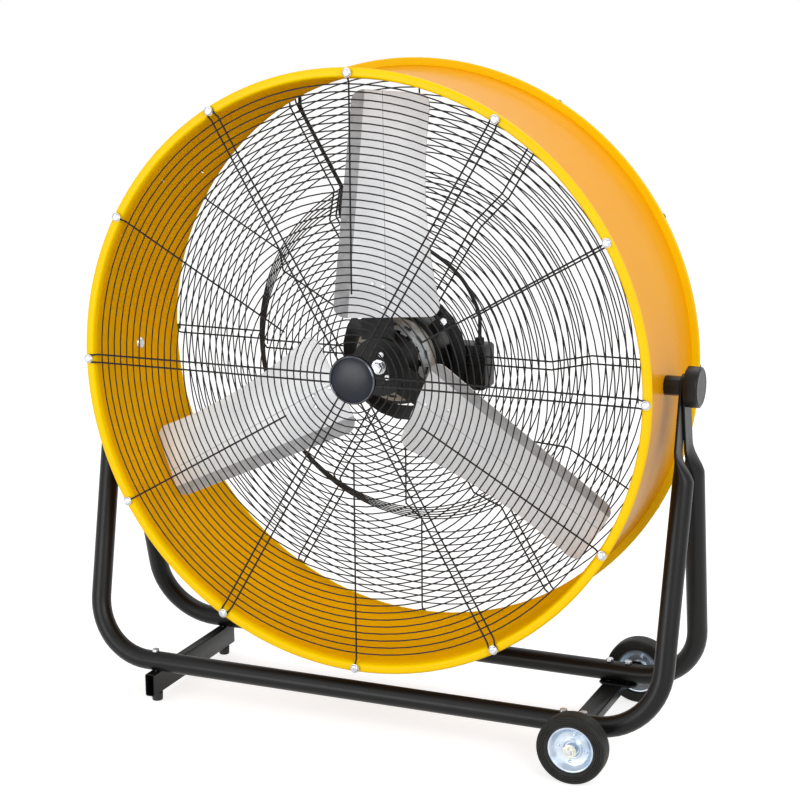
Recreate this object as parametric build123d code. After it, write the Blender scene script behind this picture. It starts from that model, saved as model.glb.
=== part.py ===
from build123d import *
from math import atan2, cos, degrees, pi, radians, sin, tan
import os

# A tilting drum fan on a wheeled tube frame, in millimetres. +Z is up, the fan blows towards -Y, and
# the origin is on the floor under the middle of the drum. The drum and all it carries are modelled
# about their own axis (local Z towards the front guard) and then placed by HEAD.

# Overall sizes
PIVOT_HEIGHT = 679.0
LIP_CIRCLE = 544.0
DRUM_DEPTH = 327.0
HEAD = Plane(origin=(0, 0, PIVOT_HEIGHT), x_dir=(1, 0, 0), z_dir=(0, -1, 0))

# Clearances
RUNNING = 0.08
BOLT_ROOM = 0.4
SEAT_GAP = 0.05
SHANK_SIDES = 6

# Drum shell, turned with narrow flats so that the pivots and the switch box seat flat on it
DRUM_FLATS = 46
SHEET = 1.5
LIP_HALF_WIDTH = 8.5
LIP_FLAT_HALF = 6.0
LIP_THICKNESS = 10.0
WALL_RADIUS = LIP_CIRCLE - 12.5
WALL_INSIDE = WALL_RADIUS - SHEET
COVE_LENGTH = 56.0
LIP_FACE = DRUM_DEPTH / 2
COVE_START = LIP_FACE - LIP_THICKNESS / 2 - COVE_LENGTH

# Wire guards
WIRE = 4.2
PITCH = 13.4
RIB_PAIRS = 6
PAIR_HALF_GAP = 8.0
GUARD_SET = 5.8
JOGGLE = 10.5
RIB_FLOOR = LIP_FACE - GUARD_SET
OUTER_WIRE = LIP_CIRCLE - LIP_HALF_WIDTH - 8.0
FRONT_INNER_WIRE = 60.0
SINGLE_RIB_END = 155.0
CAP_RADIUS = 45.0
PAIR_END = 25.0
# Turning angle of one straight piece of wire, by the radius from which it holds
WIRE_STEPS = ((380.0, 24.0), (160.0, 30.0), (0.0, 36.0))
CONE_STEP = 30.0

# Rear guard: flat field, cone, and the plateau that carries the motor
KINK_OUT = 347.0
KINK_IN = 294.0
PLATEAU = 79.0
CONE_WIRE_COUNT = 3
REAR_INNER_WIRE = 134.0
RING_PLATE_OUT = 126.0
RING_PLATE_IN = 98.0
RING_PLATE_THICK = 3.0
RING_FLATS = 24

# Centre cap and guard screws
CAP_FLATS = 24
CAP_SHEET = 2.0
CAP_RIM = 4.0
CAP_DOME = 6.0
SCREW_HEAD = 14.0
SCREW_HEAD_HEIGHT = 4.5
SCREW_SHANK = 6.0
SCREW_REACH = 6.0

# Rotor
HUB_FLATS = 24
HUB_WASHER = 2.0
BLADE_COUNT = 3
BLADE_FIRST_ANGLE = 90.0
BLADE_SHEET = 2.0
BLADE_TIP = 508.0
BLADE_ROOT = 88.0
BLADE_SKEW = 5.4
BLADE_PITCH = 10.1
STRIP_PITCH = 17.7
# The fold between the blade and its trailing strip, where its line would cross the shaft's axis
FOLD_ACROSS = 66.0
FOLD_HEIGHT = 52.0
TRAILING = (85.0, 40.0)
LEADING = (-118.0, -90.0, -102.0)
BLADE_CORNER = 22.0
ARM_ACROSS = 3.0
ARM_WIDTH = 46.0
ARM_SHEET = 3.0
ARM_TIP = 172.0
ARM_START = 50.0
RIVETS = ((112.0, -10.0), (155.0, 9.0), (150.0, -11.0))
RIVET_RADIUS = 5.0
RIVET_HEAD = 2.0
SPIDER_RADIUS = 55.0
SPIDER_FRONT = 42.0
SPIDER_THICK = 12.0
HUB_RADIUS = 30.0
HUB_BACK = 17.0
SHAFT_RADIUS = 8.0
SCREW_CIRCLE = 25.0
SCREW_ANGLES = (75.0, 195.0, 315.0)

# Motor
MOTOR_FLATS = 32
MOTOR_RADIUS = 88.0
MOTOR_FRONT = -42.0
MOTOR_BACK = -134.0
MOTOR_TAIL = -150.0
BELL_NOSE = 13.0
BELL_RIM = 80.0
BELL_SHOULDER = -29.0
NOSE_RADIUS = 28.0
BELL_SLOTS = 10
SHAFT_BACK = -62.0
EAR_CIRCLE = 112.0
EAR_ANGLES = (40.0, 140.0, 220.0, 320.0)
EAR_WIDTH = 26.0
EAR_THICK = 8.0
EAR_BOLT = 4.0
BOX_OUT = 160.0
BOX_LOW = -60.0
BOX_HIGH = 25.0
BOX_DEPTH = 50.0
BOX_GAP = 4.0
GLAND_ACROSS = 16.0
GLAND_LENGTH = 12.0
LEAD_RADIUS = 4.6
LEAD_SIDES = 5
LEAD_RISE = 48.0
LEAD_BENDS = ((112.0, 158.0, -1.0), (38.0, 208.0, 0.0), (-58.0, 232.0, 0.0), (-150.0, 214.0, -4.0))

# Pivots
PIVOT_BOLT = 6.0
BOLT_HEAD = 12.0
BOLT_HEAD_HEIGHT = 5.0
FLANGE_X = 562.0
SPACER_RADIUS = 17.0
TUBE_FLAT = 4.4
KNOB_LENGTH = 25.2
KNOB_EDGE = 17.0
KNOB_ACROSS = 75.0
KNOB_FACE = 29.0
KNOB_BORE = 14.0

# Tube frame
TUBE_RADIUS = 19.0
TUBE_WALL = 1.5
TUBE_HEIGHT = 80.0
TUBE_SPREAD = 139.0
TUBE_CORNER = 570.0
TUBE_TOP = 580.0
BEND_RADIUS = 116.0
BEND_PIECE_COUNT = 4
TUBE_SIDES = 10
FLAT_TIP_STEPS = (70, 35, 0)
FLAT_WIDTH = 45.0
FLAT_LENGTH = 115.0
ROUND_FROM = 170.0

# Crossbars, wheel brackets and feet
LEFT_BAR_X = -438.0
LEFT_BAR = (20.0, 45.0)
LEFT_BAR_LENGTH = 334.0
RIGHT_BAR_X = 405.5
RIGHT_BAR = (40.0, 20.0)
RIGHT_BAR_LENGTH = 320.0
BAR_WALL = 2.0
BAR_CORNER = 2.5
FOOT_RADIUS = 11.0
FRAME_BOLT = 4.0
HEAD_ACROSS = 13.0
HEAD_HEIGHT = 5.0
BRACKET = 4.0
BRACKET_LOW_X = 380.0
BRACKET_HIGH_X = 452.0
BRACKET_INNER_Y = 118.0
EAR_FACE_Y = 183.0
BRACKET_EAR_HALF = 17.0
BRACKET_EAR_TOP = 88.0
BRACKET_EAR_CORNER = 8.0
AXLE_HEAD_ROOM = 1.5
BRACKET_BOLTS = (396.0, 433.0)

# Wheels
WHEEL_X = 436.0
WHEEL_RADIUS = 63.5
WHEEL_WIDTH = 38.0
WHEEL_Y = 208.0
TYRE_FLATS = 32
TREAD_DROP = 5.0
RIM_RADIUS = 42.0
RIM_HALF = 14.0
HUB_TUBE = 15.0
HUB_HALF = 18.5
AXLE = 6.0
NUT_ACROSS = 17.0
NUT_HEIGHT = 6.0
WASHER = 1.5
COLLAR_RADIUS = 10.0

# Switch box on the outside of the drum, on one of the shell's flats
BOX_ANGLE = 18 * 360 / DRUM_FLATS
BOX_LENGTH = 118.0
BOX_WIDTH = 60.0
BOX_TOP = 580.0
BOX_MIDDLE = 22.0
BASE_LENGTH = 160.0
BASE_WIDTH = 36.0
BASE_SHEET = 2.0
SCREW_SPAN = BASE_LENGTH - 8
DIAL_SHIFT = -14.0
DIAL_RADIUS = 17.0
DIAL_HEIGHT = 18.0


def polar(radius, angle, z=0.0):
    return Vector(radius * cos(radians(angle)), radius * sin(radians(angle)), z)


def turned(sides, *outline):
    """A turned piece about local Z with a chosen number of flats, from its (radius, height) outline.

    A flat is centred on angle zero and every flat lies at the outline's own radius.
    """
    half = 180 / sides
    rings = [
        [polar(r / cos(radians(half)), half + 2 * half * i, z) for r, z in outline]
        for i in range(sides)
    ]
    faces = []
    for here, there in zip(rings, rings[1:] + rings[:1]):
        for j in range(len(outline)):
            k = (j + 1) % len(outline)
            corners = [here[j], here[k], there[k], there[j]]
            if outline[j][0] == 0:
                corners.pop(3)
            if outline[k][0] == 0:
                corners.pop(2)
            if len(corners) > 2:
                faces.append(Face(Wire.make_polygon(corners)))
    return outward(faces)


def outward(faces):
    """A solid from its faces, turned right side out."""
    solid = Solid(Shell(faces))
    return solid if solid.volume > 0 else Solid(Shell([-face for face in faces]))


def skin(sections, closed=False):
    """A solid with flat faces through successive sections of equally many corners."""
    count = len(sections[0])
    faces = []
    pairs = list(zip(sections, sections[1:] + sections[:1]))
    if not closed:
        pairs.pop()
        faces += [Face(Wire.make_polygon(sections[i])) for i in (0, -1)]
    for here, there in pairs:
        for i in range(count):
            j = (i + 1) % count
            faces.append(Face(Wire.make_polygon([here[i], here[j], there[j]])))
            faces.append(Face(Wire.make_polygon([here[i], there[j], there[i]])))
    return outward(faces)


def rod(radius, bottom, top, x=0.0, y=0.0):
    return Pos(x, y, bottom) * extrude(Circle(radius), top - bottom)


def shank(radius, bottom, top, x=0.0, y=0.0):
    """The body of a clamped bolt, with its corners at the radius."""
    return Pos(x, y, bottom) * extrude(RegularPolygon(radius, SHANK_SIDES), top - bottom)


def bolt_hole(radius, bottom, top, x=0.0, y=0.0):
    """A hole that clears a clamped bolt's body all round."""
    face = RegularPolygon(radius + BOLT_ROOM, SHANK_SIDES, major_radius=False)
    return Pos(x, y, bottom) * extrude(face, top - bottom)


def hexagon(across, bottom, top, x=0.0, y=0.0):
    face = RegularPolygon(across / 2, 6, major_radius=False)
    return Pos(x, y, bottom) * extrude(face, top - bottom)


def block(x, y, z):
    """A box from its (low, high) limits on each axis."""
    size = [high - low for low, high in (x, y, z)]
    middle = [(high + low) / 2 for low, high in (x, y, z)]
    return Pos(*middle) * Box(*size)


def group(parts):
    """One sub-part from separate solids kept side by side."""
    return Compound([solid for part in parts for solid in part.solids()])


def around(part, count, first=0.0):
    return [Rot(0, 0, first + 360 / count * i) * part for i in range(count)]


# ---- Drum shell ------------------------------------------------------------------------------------


def lip_outline(side):
    """The rolled lip's corners from its inner edge round the front to its outer edge."""
    back = LIP_FACE - LIP_THICKNESS
    middle = LIP_FACE - LIP_THICKNESS / 2
    points = [
        (LIP_CIRCLE - LIP_HALF_WIDTH, middle),
        (LIP_CIRCLE - LIP_FLAT_HALF, LIP_FACE),
        (LIP_CIRCLE + LIP_FLAT_HALF, LIP_FACE),
        (LIP_CIRCLE + LIP_HALF_WIDTH, middle),
        (LIP_CIRCLE - LIP_HALF_WIDTH + 2 * SHEET, back),
    ]
    return [(r, side * z) for r, z in points]


def drum_shell():
    inside = [(WALL_INSIDE, -COVE_START), (WALL_INSIDE, COVE_START)]
    outside = [(WALL_RADIUS, COVE_START), (WALL_RADIUS, -COVE_START)]
    shell = turned(DRUM_FLATS, *inside, *lip_outline(1), *outside, *reversed(lip_outline(-1)))
    hole = bolt_hole(PIVOT_BOLT, WALL_INSIDE - 10, WALL_RADIUS + 10)
    return shell - Rot(0, 90, 0) * hole - Rot(0, -90, 0) * hole


# ---- Wire guards -----------------------------------------------------------------------------------


def wire_section(radius, seat, slope, half_step, angle):
    """The wire's three corners: a flat that lies on the ribs at height seat, and the crest away from them.

    slope is the angle of the ribs' face, rising towards the axis. The corners are moved out to the
    polygon's vertex, so that the middle of each straight piece lies at the given radius.
    """
    along = Vector(cos(radians(slope)), 0, -sin(radians(slope)))
    away = Vector(sin(radians(slope)), 0, cos(radians(slope)))
    middle = Vector(radius, 0, seat)
    corners = [middle - along * WIRE / 2, middle + along * WIRE / 2, middle + away * WIRE]
    return [polar(c.X / cos(radians(half_step)), angle, c.Z) for c in corners]


def step_at(radius):
    return next(step for limit, step in WIRE_STEPS if radius >= limit)


def spiral(start, end, seat, crest=1):
    """One flat spiral of wire from radius start in to radius end, lying on the ribs at height seat."""
    sections = []
    angle = 0.0
    radius = start
    while radius > end:
        half = step_at(radius) / 2
        mean = radius * (1 + cos(radians(half))) / 2
        corners = wire_section(mean, 0, 0, half, angle)
        sections.append([Vector(c.X, c.Y, seat + crest * c.Z) for c in corners])
        angle += 2 * half
        radius = start - PITCH * angle / 360
    return skin(sections)


def cone_wire(radius, seat, slope):
    """A closed wire ring on the rear guard's cone, with a straight piece centred on every rib."""
    half = CONE_STEP / 2
    count = round(360 / CONE_STEP)
    angles = [half + CONE_STEP * i for i in range(count)]
    return skin([wire_section(radius, seat, slope, half, a) for a in angles], closed=True)


def ribbon(path, start_square=True):
    """The outline of a bent wire of square section: the path (radius, height) and its other side."""
    other = []
    for i, point in enumerate(path):
        before = path[max(i - 1, 0)]
        after = path[min(i + 1, len(path) - 1)]
        first = atan2(point[1] - before[1], point[0] - before[0]) if i else None
        last = atan2(after[1] - point[1], after[0] - point[0]) if i < len(path) - 1 else None
        first = last if first is None else first
        last = first if last is None else last
        normal = (first + last) / 2 + pi / 2
        reach = WIRE / cos((last - first) / 2)
        other.append((point[0] + reach * cos(normal), point[1] + reach * sin(normal)))
    return list(path) + other[::-1]


def bent_rib(path, offset):
    """A rib along +X whose face towards the wires follows path, offset sideways from the radial line."""
    outline = make_face(Polyline(*[(r, 0, z) for r, z in ribbon(path)], close=True))
    return Pos(0, offset, 0) * extrude(outline, WIRE / 2, dir=(0, 1, 0), both=True)


def hairpin_loop(seat):
    """The half turn that joins a pair of ribs round its bolt."""
    outer = Polyline(*[polar(PAIR_HALF_GAP + WIRE / 2, a) for a in (-90, -30, 30, 90)])
    inner = Polyline(*[polar(PAIR_HALF_GAP - WIRE / 2, a) for a in (90, 30, -30, -90)])
    low = Line(inner @ 1, outer @ 0)
    high = Line(outer @ 1, inner @ 0)
    face = make_face([outer, inner, low, high])
    return Pos(LIP_CIRCLE, 0, seat) * extrude(face, WIRE)


def front_rib_path(inner_end, outer_end):
    lip_flat = LIP_CIRCLE - LIP_FLAT_HALF
    bend = [(lip_flat - JOGGLE, RIB_FLOOR), (lip_flat, LIP_FACE)]
    return [(inner_end, RIB_FLOOR)] + bend + [(outer_end, LIP_FACE)]


def single_rib_tip():
    """A single rib stops under its screw's head, just short of the screw's body."""
    return LIP_CIRCLE - SCREW_SHANK / 2 - BOLT_ROOM


def front_guard():
    pair_path = front_rib_path(PAIR_END, LIP_CIRCLE)
    single_path = front_rib_path(SINGLE_RIB_END, single_rib_tip())
    pair = [bent_rib(pair_path, side * PAIR_HALF_GAP) for side in (-1, 1)]
    pair.append(hairpin_loop(LIP_FACE))
    single = bent_rib(single_path, 0)
    wires = [spiral(OUTER_WIRE, FRONT_INNER_WIRE, RIB_FLOOR, -1)]
    for piece in pair:
        wires += around(piece, RIB_PAIRS)
    wires += around(single, RIB_PAIRS, 180 / RIB_PAIRS)
    return group(wires)


def cone_angle():
    return degrees(atan2(RIB_FLOOR - PLATEAU, KINK_OUT - KINK_IN))


def rear_rib_path(inner_end, outer_end):
    """The rear ribs' face towards the wires, with heights counted from the middle of the drum."""
    front = front_rib_path(KINK_OUT, outer_end)
    return [(inner_end, PLATEAU), (KINK_IN, PLATEAU)] + front


def cone_seats():
    """Radius and height of each ring's middle on the cone."""
    count = CONE_WIRE_COUNT + 1
    steps = [i / count for i in range(1, count)]
    rise = RIB_FLOOR - PLATEAU
    return [(KINK_IN + s * (KINK_OUT - KINK_IN), PLATEAU + s * rise) for s in steps]


def rear_guard():
    """Built like the front guard, facing the front, and turned over at the end."""
    pair_path = rear_rib_path(RING_PLATE_IN + 8, LIP_CIRCLE)
    single_path = rear_rib_path(SINGLE_RIB_END, single_rib_tip())
    wires = [
        spiral(OUTER_WIRE, KINK_OUT + 4 * WIRE, RIB_FLOOR, -1),
        spiral(KINK_IN - WIRE, REAR_INNER_WIRE, PLATEAU, -1),
    ]
    for radius, height in cone_seats():
        wires.append(cone_wire(radius, height, -cone_angle()))
    pair = [bent_rib(pair_path, side * PAIR_HALF_GAP) for side in (-1, 1)]
    pair.append(hairpin_loop(LIP_FACE))
    for piece in pair:
        wires += around(piece, RIB_PAIRS)
    wires += around(bent_rib(single_path, 0), RIB_PAIRS, 180 / RIB_PAIRS)
    return Rot(0, 180, 0) * group(wires)


def ring_plate():
    """The flat ring on the plateau's ribs that the motor is bolted to."""
    top = -PLATEAU + RING_PLATE_THICK
    plate = turned(
        RING_FLATS,
        (RING_PLATE_IN, -PLATEAU),
        (RING_PLATE_OUT, -PLATEAU),
        (RING_PLATE_OUT, top),
        (RING_PLATE_IN, top),
    )
    for angle in EAR_ANGLES:
        plate -= Rot(0, 0, angle) * bolt_hole(EAR_BOLT, -PLATEAU - 1, top + 1, EAR_CIRCLE)
    return plate


def centre_plate():
    """The disc welded behind the inner ends of the front guard's rib pairs."""
    bottom = RIB_FLOOR - CAP_SHEET
    return turned(CAP_FLATS, (0, bottom), (CAP_RADIUS, bottom), (CAP_RADIUS, RIB_FLOOR), (0, RIB_FLOOR))


def cap_rim():
    seat = RIB_FLOOR + WIRE
    inner = CAP_RADIUS - CAP_RIM
    return turned(
        CAP_FLATS,
        (inner, seat),
        (CAP_RADIUS, seat),
        (CAP_RADIUS, seat + CAP_SHEET),
        (inner, seat + 2 * CAP_SHEET),
    )


def centre_cap():
    seat = RIB_FLOOR + WIRE
    edge = CAP_RADIUS - CAP_RIM
    return turned(
        CAP_FLATS,
        (0, seat),
        (edge, seat),
        (edge, seat + CAP_SHEET),
        (0.7 * edge, seat + CAP_DOME - 1),
        (0, seat + CAP_DOME),
    )


def guard_screws():
    """Flange screws through the guard's rib ends into the lip, on the front side."""
    seat = LIP_FACE + WIRE
    screw = hexagon(SCREW_HEAD, seat, seat + SCREW_HEAD_HEIGHT)
    screw += shank(SCREW_SHANK / 2, LIP_FACE - SCREW_REACH, seat)
    return around(Pos(LIP_CIRCLE, 0, 0) * screw, 2 * RIB_PAIRS)


# ---- Rotor -----------------------------------------------------------------------------------------


def blade_height(across):
    """Height of the blade's front face at a distance across, on the line through the shaft's axis."""
    pitch = STRIP_PITCH if across > FOLD_ACROSS else BLADE_PITCH
    return FOLD_HEIGHT + (across - FOLD_ACROSS) * tan(radians(pitch))


def skewed_sheet(across, top, thickness):
    """A sheet folded along lines that run out with the blade's skew; top is its drop from the face."""
    upper = [(0, a, blade_height(a) - top) for a in across]
    lower = [(0, a, blade_height(a) - top - thickness) for a in reversed(across)]
    section = make_face(Polyline(*upper, *lower, close=True))
    skew = radians(BLADE_SKEW)
    return extrude(section, 1.2 * BLADE_TIP, dir=(cos(skew), -sin(skew), 0))


def blank(outline, corner):
    """A flat outline raised through the whole depth of the rotor, to cut sheets to shape."""
    sketch = fillet(outline.vertices(), corner)
    return extrude(sketch, 2 * FOLD_HEIGHT)


def blade():
    root_x = BLADE_ROOT
    trailing = Line((root_x, TRAILING[0]), (BLADE_TIP, TRAILING[1]))
    tip = Line(trailing @ 1, (BLADE_TIP - 8, LEADING[2]))
    middle = ((root_x + BLADE_TIP) / 2, LEADING[1])
    leading = ThreePointArc(tip @ 1, middle, (root_x + 10, LEADING[0]))
    root = Line(leading @ 1, trailing @ 0)
    outline = make_face([trailing, tip, leading, root])
    edge = FOLD_ACROSS + TRAILING[0]
    sheet = skewed_sheet((edge, FOLD_ACROSS, 2 * LEADING[0]), 0, BLADE_SHEET)
    return sheet & blank(outline, BLADE_CORNER)


def blade_arm():
    """One arm of the spider, lying against the back of its blade."""
    half = ARM_WIDTH / 2
    outline = make_face(
        Polyline(
            (ARM_START, ARM_ACROSS - half - 8),
            (ARM_TIP, ARM_ACROSS - half),
            (ARM_TIP, ARM_ACROSS + half),
            (ARM_START, ARM_ACROSS + half + 8),
            close=True,
        )
    )
    sheet = skewed_sheet((FOLD_ACROSS, LEADING[0]), BLADE_SHEET, ARM_SHEET)
    return sheet & extrude(outline, 2 * FOLD_HEIGHT)


def blade_rivets():
    """Rivet heads on the blade's front, square to its face."""
    skew, pitch = radians(BLADE_SKEW), radians(BLADE_PITCH)
    normal = (-sin(skew) * sin(pitch), -cos(skew) * sin(pitch), cos(skew) * cos(pitch))
    heads = []
    for radius, across in RIVETS:
        height = blade_height(across + radius * tan(skew))
        seat = Plane(origin=(radius, across, height), x_dir=(cos(skew), -sin(skew), 0), z_dir=normal)
        heads.append(seat * extrude(RegularPolygon(RIVET_RADIUS, 6), RIVET_HEAD, taper=20))
    return group(heads)


def hub_spider():
    back = SPIDER_FRONT - SPIDER_THICK
    hub = turned(
        HUB_FLATS,
        (0, HUB_BACK),
        (HUB_RADIUS, HUB_BACK),
        (HUB_RADIUS, back),
        (SPIDER_RADIUS, back),
        (SPIDER_RADIUS, SPIDER_FRONT),
        (0, SPIDER_FRONT),
    )
    for arm in around(blade_arm(), BLADE_COUNT, BLADE_FIRST_ANGLE):
        hub += arm
    return hub - rod(SHAFT_RADIUS + SEAT_GAP, HUB_BACK - 1, SPIDER_FRONT + 1)


def hub_fasteners():
    washer = SPIDER_FRONT + HUB_WASHER
    bolt = turned(12, (0, SPIDER_FRONT), (14, SPIDER_FRONT), (14, washer), (0, washer))
    bolt += hexagon(NUT_ACROSS, washer, washer + 2 * HEAD_HEIGHT)
    screw = hexagon(HEAD_ACROSS - 3, SPIDER_FRONT, SPIDER_FRONT + HEAD_HEIGHT, SCREW_CIRCLE)
    return group([bolt] + [Rot(0, 0, angle) * screw for angle in SCREW_ANGLES])


def motor_shaft():
    return rod(SHAFT_RADIUS, SHAFT_BACK, SPIDER_FRONT)


# ---- Motor -----------------------------------------------------------------------------------------


def motor_front_bell():
    bell = turned(
        MOTOR_FLATS,
        (0, MOTOR_FRONT),
        (BELL_RIM, MOTOR_FRONT),
        (BELL_RIM, BELL_SHOULDER),
        (NOSE_RADIUS + 6, BELL_NOSE - 12),
        (NOSE_RADIUS, BELL_NOSE),
        (0, BELL_NOSE),
    )
    slot = block((BELL_RIM * 0.6, BELL_RIM * 0.85), (-3.5, 3.5), (BELL_SHOULDER - 4, BELL_NOSE))
    for cut in around(slot, BELL_SLOTS, 360 / BELL_SLOTS / 2):
        bell -= cut
    return bell - rod(SHAFT_RADIUS + RUNNING, MOTOR_FRONT - 1, BELL_NOSE + 1)


def ear_top():
    return -PLATEAU + RING_PLATE_THICK + EAR_THICK


def motor_body():
    """The black stator housing with the four ears that sit on the ring plate."""
    body = turned(
        MOTOR_FLATS,
        (0, MOTOR_TAIL),
        (MOTOR_RADIUS - 20, MOTOR_TAIL),
        (MOTOR_RADIUS, MOTOR_BACK),
        (MOTOR_RADIUS, MOTOR_FRONT),
        (0, MOTOR_FRONT),
    )
    half = EAR_WIDTH / 2
    ear = block((MOTOR_RADIUS - 8, EAR_CIRCLE + half), (-half, half), (ear_top() - EAR_THICK, ear_top()))
    ear -= bolt_hole(EAR_BOLT, ear_top() - EAR_THICK - 1, ear_top() + 1, EAR_CIRCLE)
    for angle in EAR_ANGLES:
        body += Rot(0, 0, angle) * ear
    return body - rod(SHAFT_RADIUS + RUNNING, SHAFT_BACK - 1, MOTOR_FRONT + 1)


def motor_bolts():
    low = -PLATEAU
    bolt = shank(EAR_BOLT, low - HEAD_HEIGHT, ear_top(), EAR_CIRCLE)
    bolt += hexagon(HEAD_ACROSS, ear_top(), ear_top() + HEAD_HEIGHT, EAR_CIRCLE)
    bolt += hexagon(HEAD_ACROSS, low - HEAD_HEIGHT, low, EAR_CIRCLE)
    return group([Rot(0, 0, angle) * bolt for angle in EAR_ANGLES])


def box_front():
    """Height of the junction box's front face, behind the plateau's ribs."""
    return -PLATEAU - WIRE - BOX_GAP


def gland_place():
    """Where the lead leaves the junction box: distance right of the axis, and depth."""
    return BOX_OUT - 20, box_front() - BOX_DEPTH / 2


def junction_box():
    box = block((0, BOX_OUT), (BOX_LOW, BOX_HIGH), (box_front() - BOX_DEPTH, box_front()))
    box = chamfer(box.edges().filter_by(Axis.Z).sort_by(Axis.X)[-2:], 5)
    x, z = gland_place()
    gland = Pos(x, BOX_HIGH, z) * Rot(-90, 0, 0) * hexagon(GLAND_ACROSS, 0, GLAND_LENGTH)
    room = turned(
        MOTOR_FLATS,
        (0, MOTOR_TAIL),
        (MOTOR_RADIUS + SEAT_GAP, MOTOR_TAIL),
        (MOTOR_RADIUS + SEAT_GAP, MOTOR_FRONT),
        (0, MOTOR_FRONT),
    )
    return box + gland - room


def lead_route():
    """The motor lead from the junction box up the back of the guard and over the lip to the switch box."""
    x, z = gland_place()
    behind = -PLATEAU - WIRE - LEAD_RADIUS - 1.5
    start = Vector(x, BOX_HIGH + GLAND_LENGTH, z)
    end = polar(gland_radius(), BOX_ANGLE, BOX_MIDDLE - BOX_LENGTH / 2 - GLAND_LENGTH)
    return [
        start,
        start + Vector(0, LEAD_RISE, 0),
        *[Vector(x, y, behind + z) for x, y, z in LEAD_BENDS],
        polar(KINK_IN + 11, BOX_ANGLE, -PLATEAU - 38),
        polar(KINK_OUT - 11, BOX_ANGLE, -RIB_FLOOR - 20),
        polar(KINK_OUT + 83, BOX_ANGLE, -RIB_FLOOR - 18),
        polar(LIP_CIRCLE - 14, BOX_ANGLE, -LIP_FACE - 5 * LEAD_RADIUS),
        polar(gland_radius(), BOX_ANGLE, -LIP_FACE - 1.4 * LEAD_RADIUS),
        end,
    ]


def lead_radii(points):
    """As large a bend at each corner as its two runs allow."""
    radii = []
    for before, here, after in zip(points, points[1:], points[2:]):
        turn = radians((here - before).get_angle(after - here))
        run = min((here - before).length, (after - here).length)
        radii.append(0.45 * run / tan(turn / 2))
    return radii


def motor_lead():
    points = lead_route()
    path = FilletPolyline(*points, radius=lead_radii(points))
    face = Plane(origin=path @ 0, z_dir=path % 0) * RegularPolygon(LEAD_RADIUS, LEAD_SIDES)
    return sweep(face, path=path)


# ---- Switch box ------------------------------------------------------------------------------------


def on_box_flat(part):
    """Places a part drawn with +X out of the drum and +Z towards the front on the box's flat."""
    return Rot(0, 0, BOX_ANGLE) * part


def gland_radius():
    """The switch box's gland lies far enough out for the lead to pass the lip in a straight line."""
    return LIP_CIRCLE + LIP_HALF_WIDTH + LEAD_RADIUS + 3


def switch_box():
    bottom = WALL_RADIUS
    middle = BOX_MIDDLE
    strip = block(
        (bottom, bottom + BASE_SHEET),
        (-BASE_WIDTH / 2, BASE_WIDTH / 2),
        (middle - BASE_LENGTH / 2, middle + BASE_LENGTH / 2),
    )
    body = block(
        (bottom + BASE_SHEET, BOX_TOP),
        (-BOX_WIDTH / 2, BOX_WIDTH / 2),
        (middle - BOX_LENGTH / 2, middle + BOX_LENGTH / 2),
    )
    body = chamfer(body.edges().group_by(Axis.X)[-1], 3)
    low = middle - BOX_LENGTH / 2
    gland = hexagon(GLAND_ACROSS, low - GLAND_LENGTH, low, gland_radius())
    return on_box_flat(strip + body + gland)


def switch_screws():
    middle = BOX_MIDDLE
    out = WALL_RADIUS + BASE_SHEET
    screws = []
    for end in (-1, 1):
        place = Pos(0, 0, middle + end * SCREW_SPAN / 2) * Rot(0, 90, 0)
        screw = hexagon(8, out, out + 3) + shank(2, WALL_INSIDE - 4, out)
        screws.append(place * screw)
    return on_box_flat(group(screws))


def switch_dial():
    """The rotary switch's knob on the box's outer face, with a pointer rib across it."""
    half = DIAL_RADIUS
    dial = Rot(0, 90, 0) * turned(12, (0, 0), (half, 0), (half - 2, 6), (0, 6))
    rib = block((0, DIAL_HEIGHT), (-4, 4), (-half + 3, half - 3))
    place = Pos(BOX_TOP + 0.3, 0, BOX_MIDDLE + DIAL_SHIFT)
    return on_box_flat(place * (dial + rib))


# ---- Pivots ----------------------------------------------------------------------------------------
# The pivot parts are modelled along local Z, with Z = 0 on the drum's axis, and turned to each side.


def to_side(part, side):
    """Lays a part made along +Z on the right (+1) or left (-1) pivot."""
    return Pos(0, 0, PIVOT_HEIGHT) * Rot(0, 90 * side, 0) * part


def pivot_bolts():
    seat = WALL_INSIDE
    low = seat - BOLT_HEAD_HEIGHT
    bolt = turned(12, (0, low), (BOLT_HEAD - 4, low), (BOLT_HEAD, seat), (0, seat))
    bolt += rod(PIVOT_BOLT, seat, FLANGE_X + 2 * TUBE_FLAT + KNOB_BORE - 1)
    return group([to_side(bolt, side) for side in (1, -1)])


def pivot_spacers():
    inside = PIVOT_BOLT + BOLT_ROOM
    outline = [(inside, WALL_RADIUS), (SPACER_RADIUS, WALL_RADIUS)]
    outline += [(r, FLANGE_X) for r, _ in reversed(outline)]
    spacer = turned(12, *outline)
    return group([to_side(spacer, side) for side in (1, -1)])


def tilt_knob(side):
    """A twelve-sided grip with a round, slightly domed face, threaded on the pivot bolt."""
    low = FLANGE_X + 2 * TUBE_FLAT
    edge = low + KNOB_EDGE
    grip = turned(
        12,
        (0, low),
        (KNOB_ACROSS / 2 - 2, low),
        (KNOB_ACROSS / 2, low + 3),
        (KNOB_ACROSS / 2, edge - 2),
        (KNOB_ACROSS / 2 - 3, edge),
        (0, edge),
    )
    top = low + KNOB_LENGTH
    face = turned(16, (0, edge), (KNOB_FACE, edge), (KNOB_FACE - 5, top), (0, top))
    knob = grip + face
    knob -= rod(PIVOT_BOLT + RUNNING, low - 1, low + KNOB_BORE)
    return to_side(knob, side)


# ---- Tube frame ------------------------------------------------------------------------------------


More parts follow.
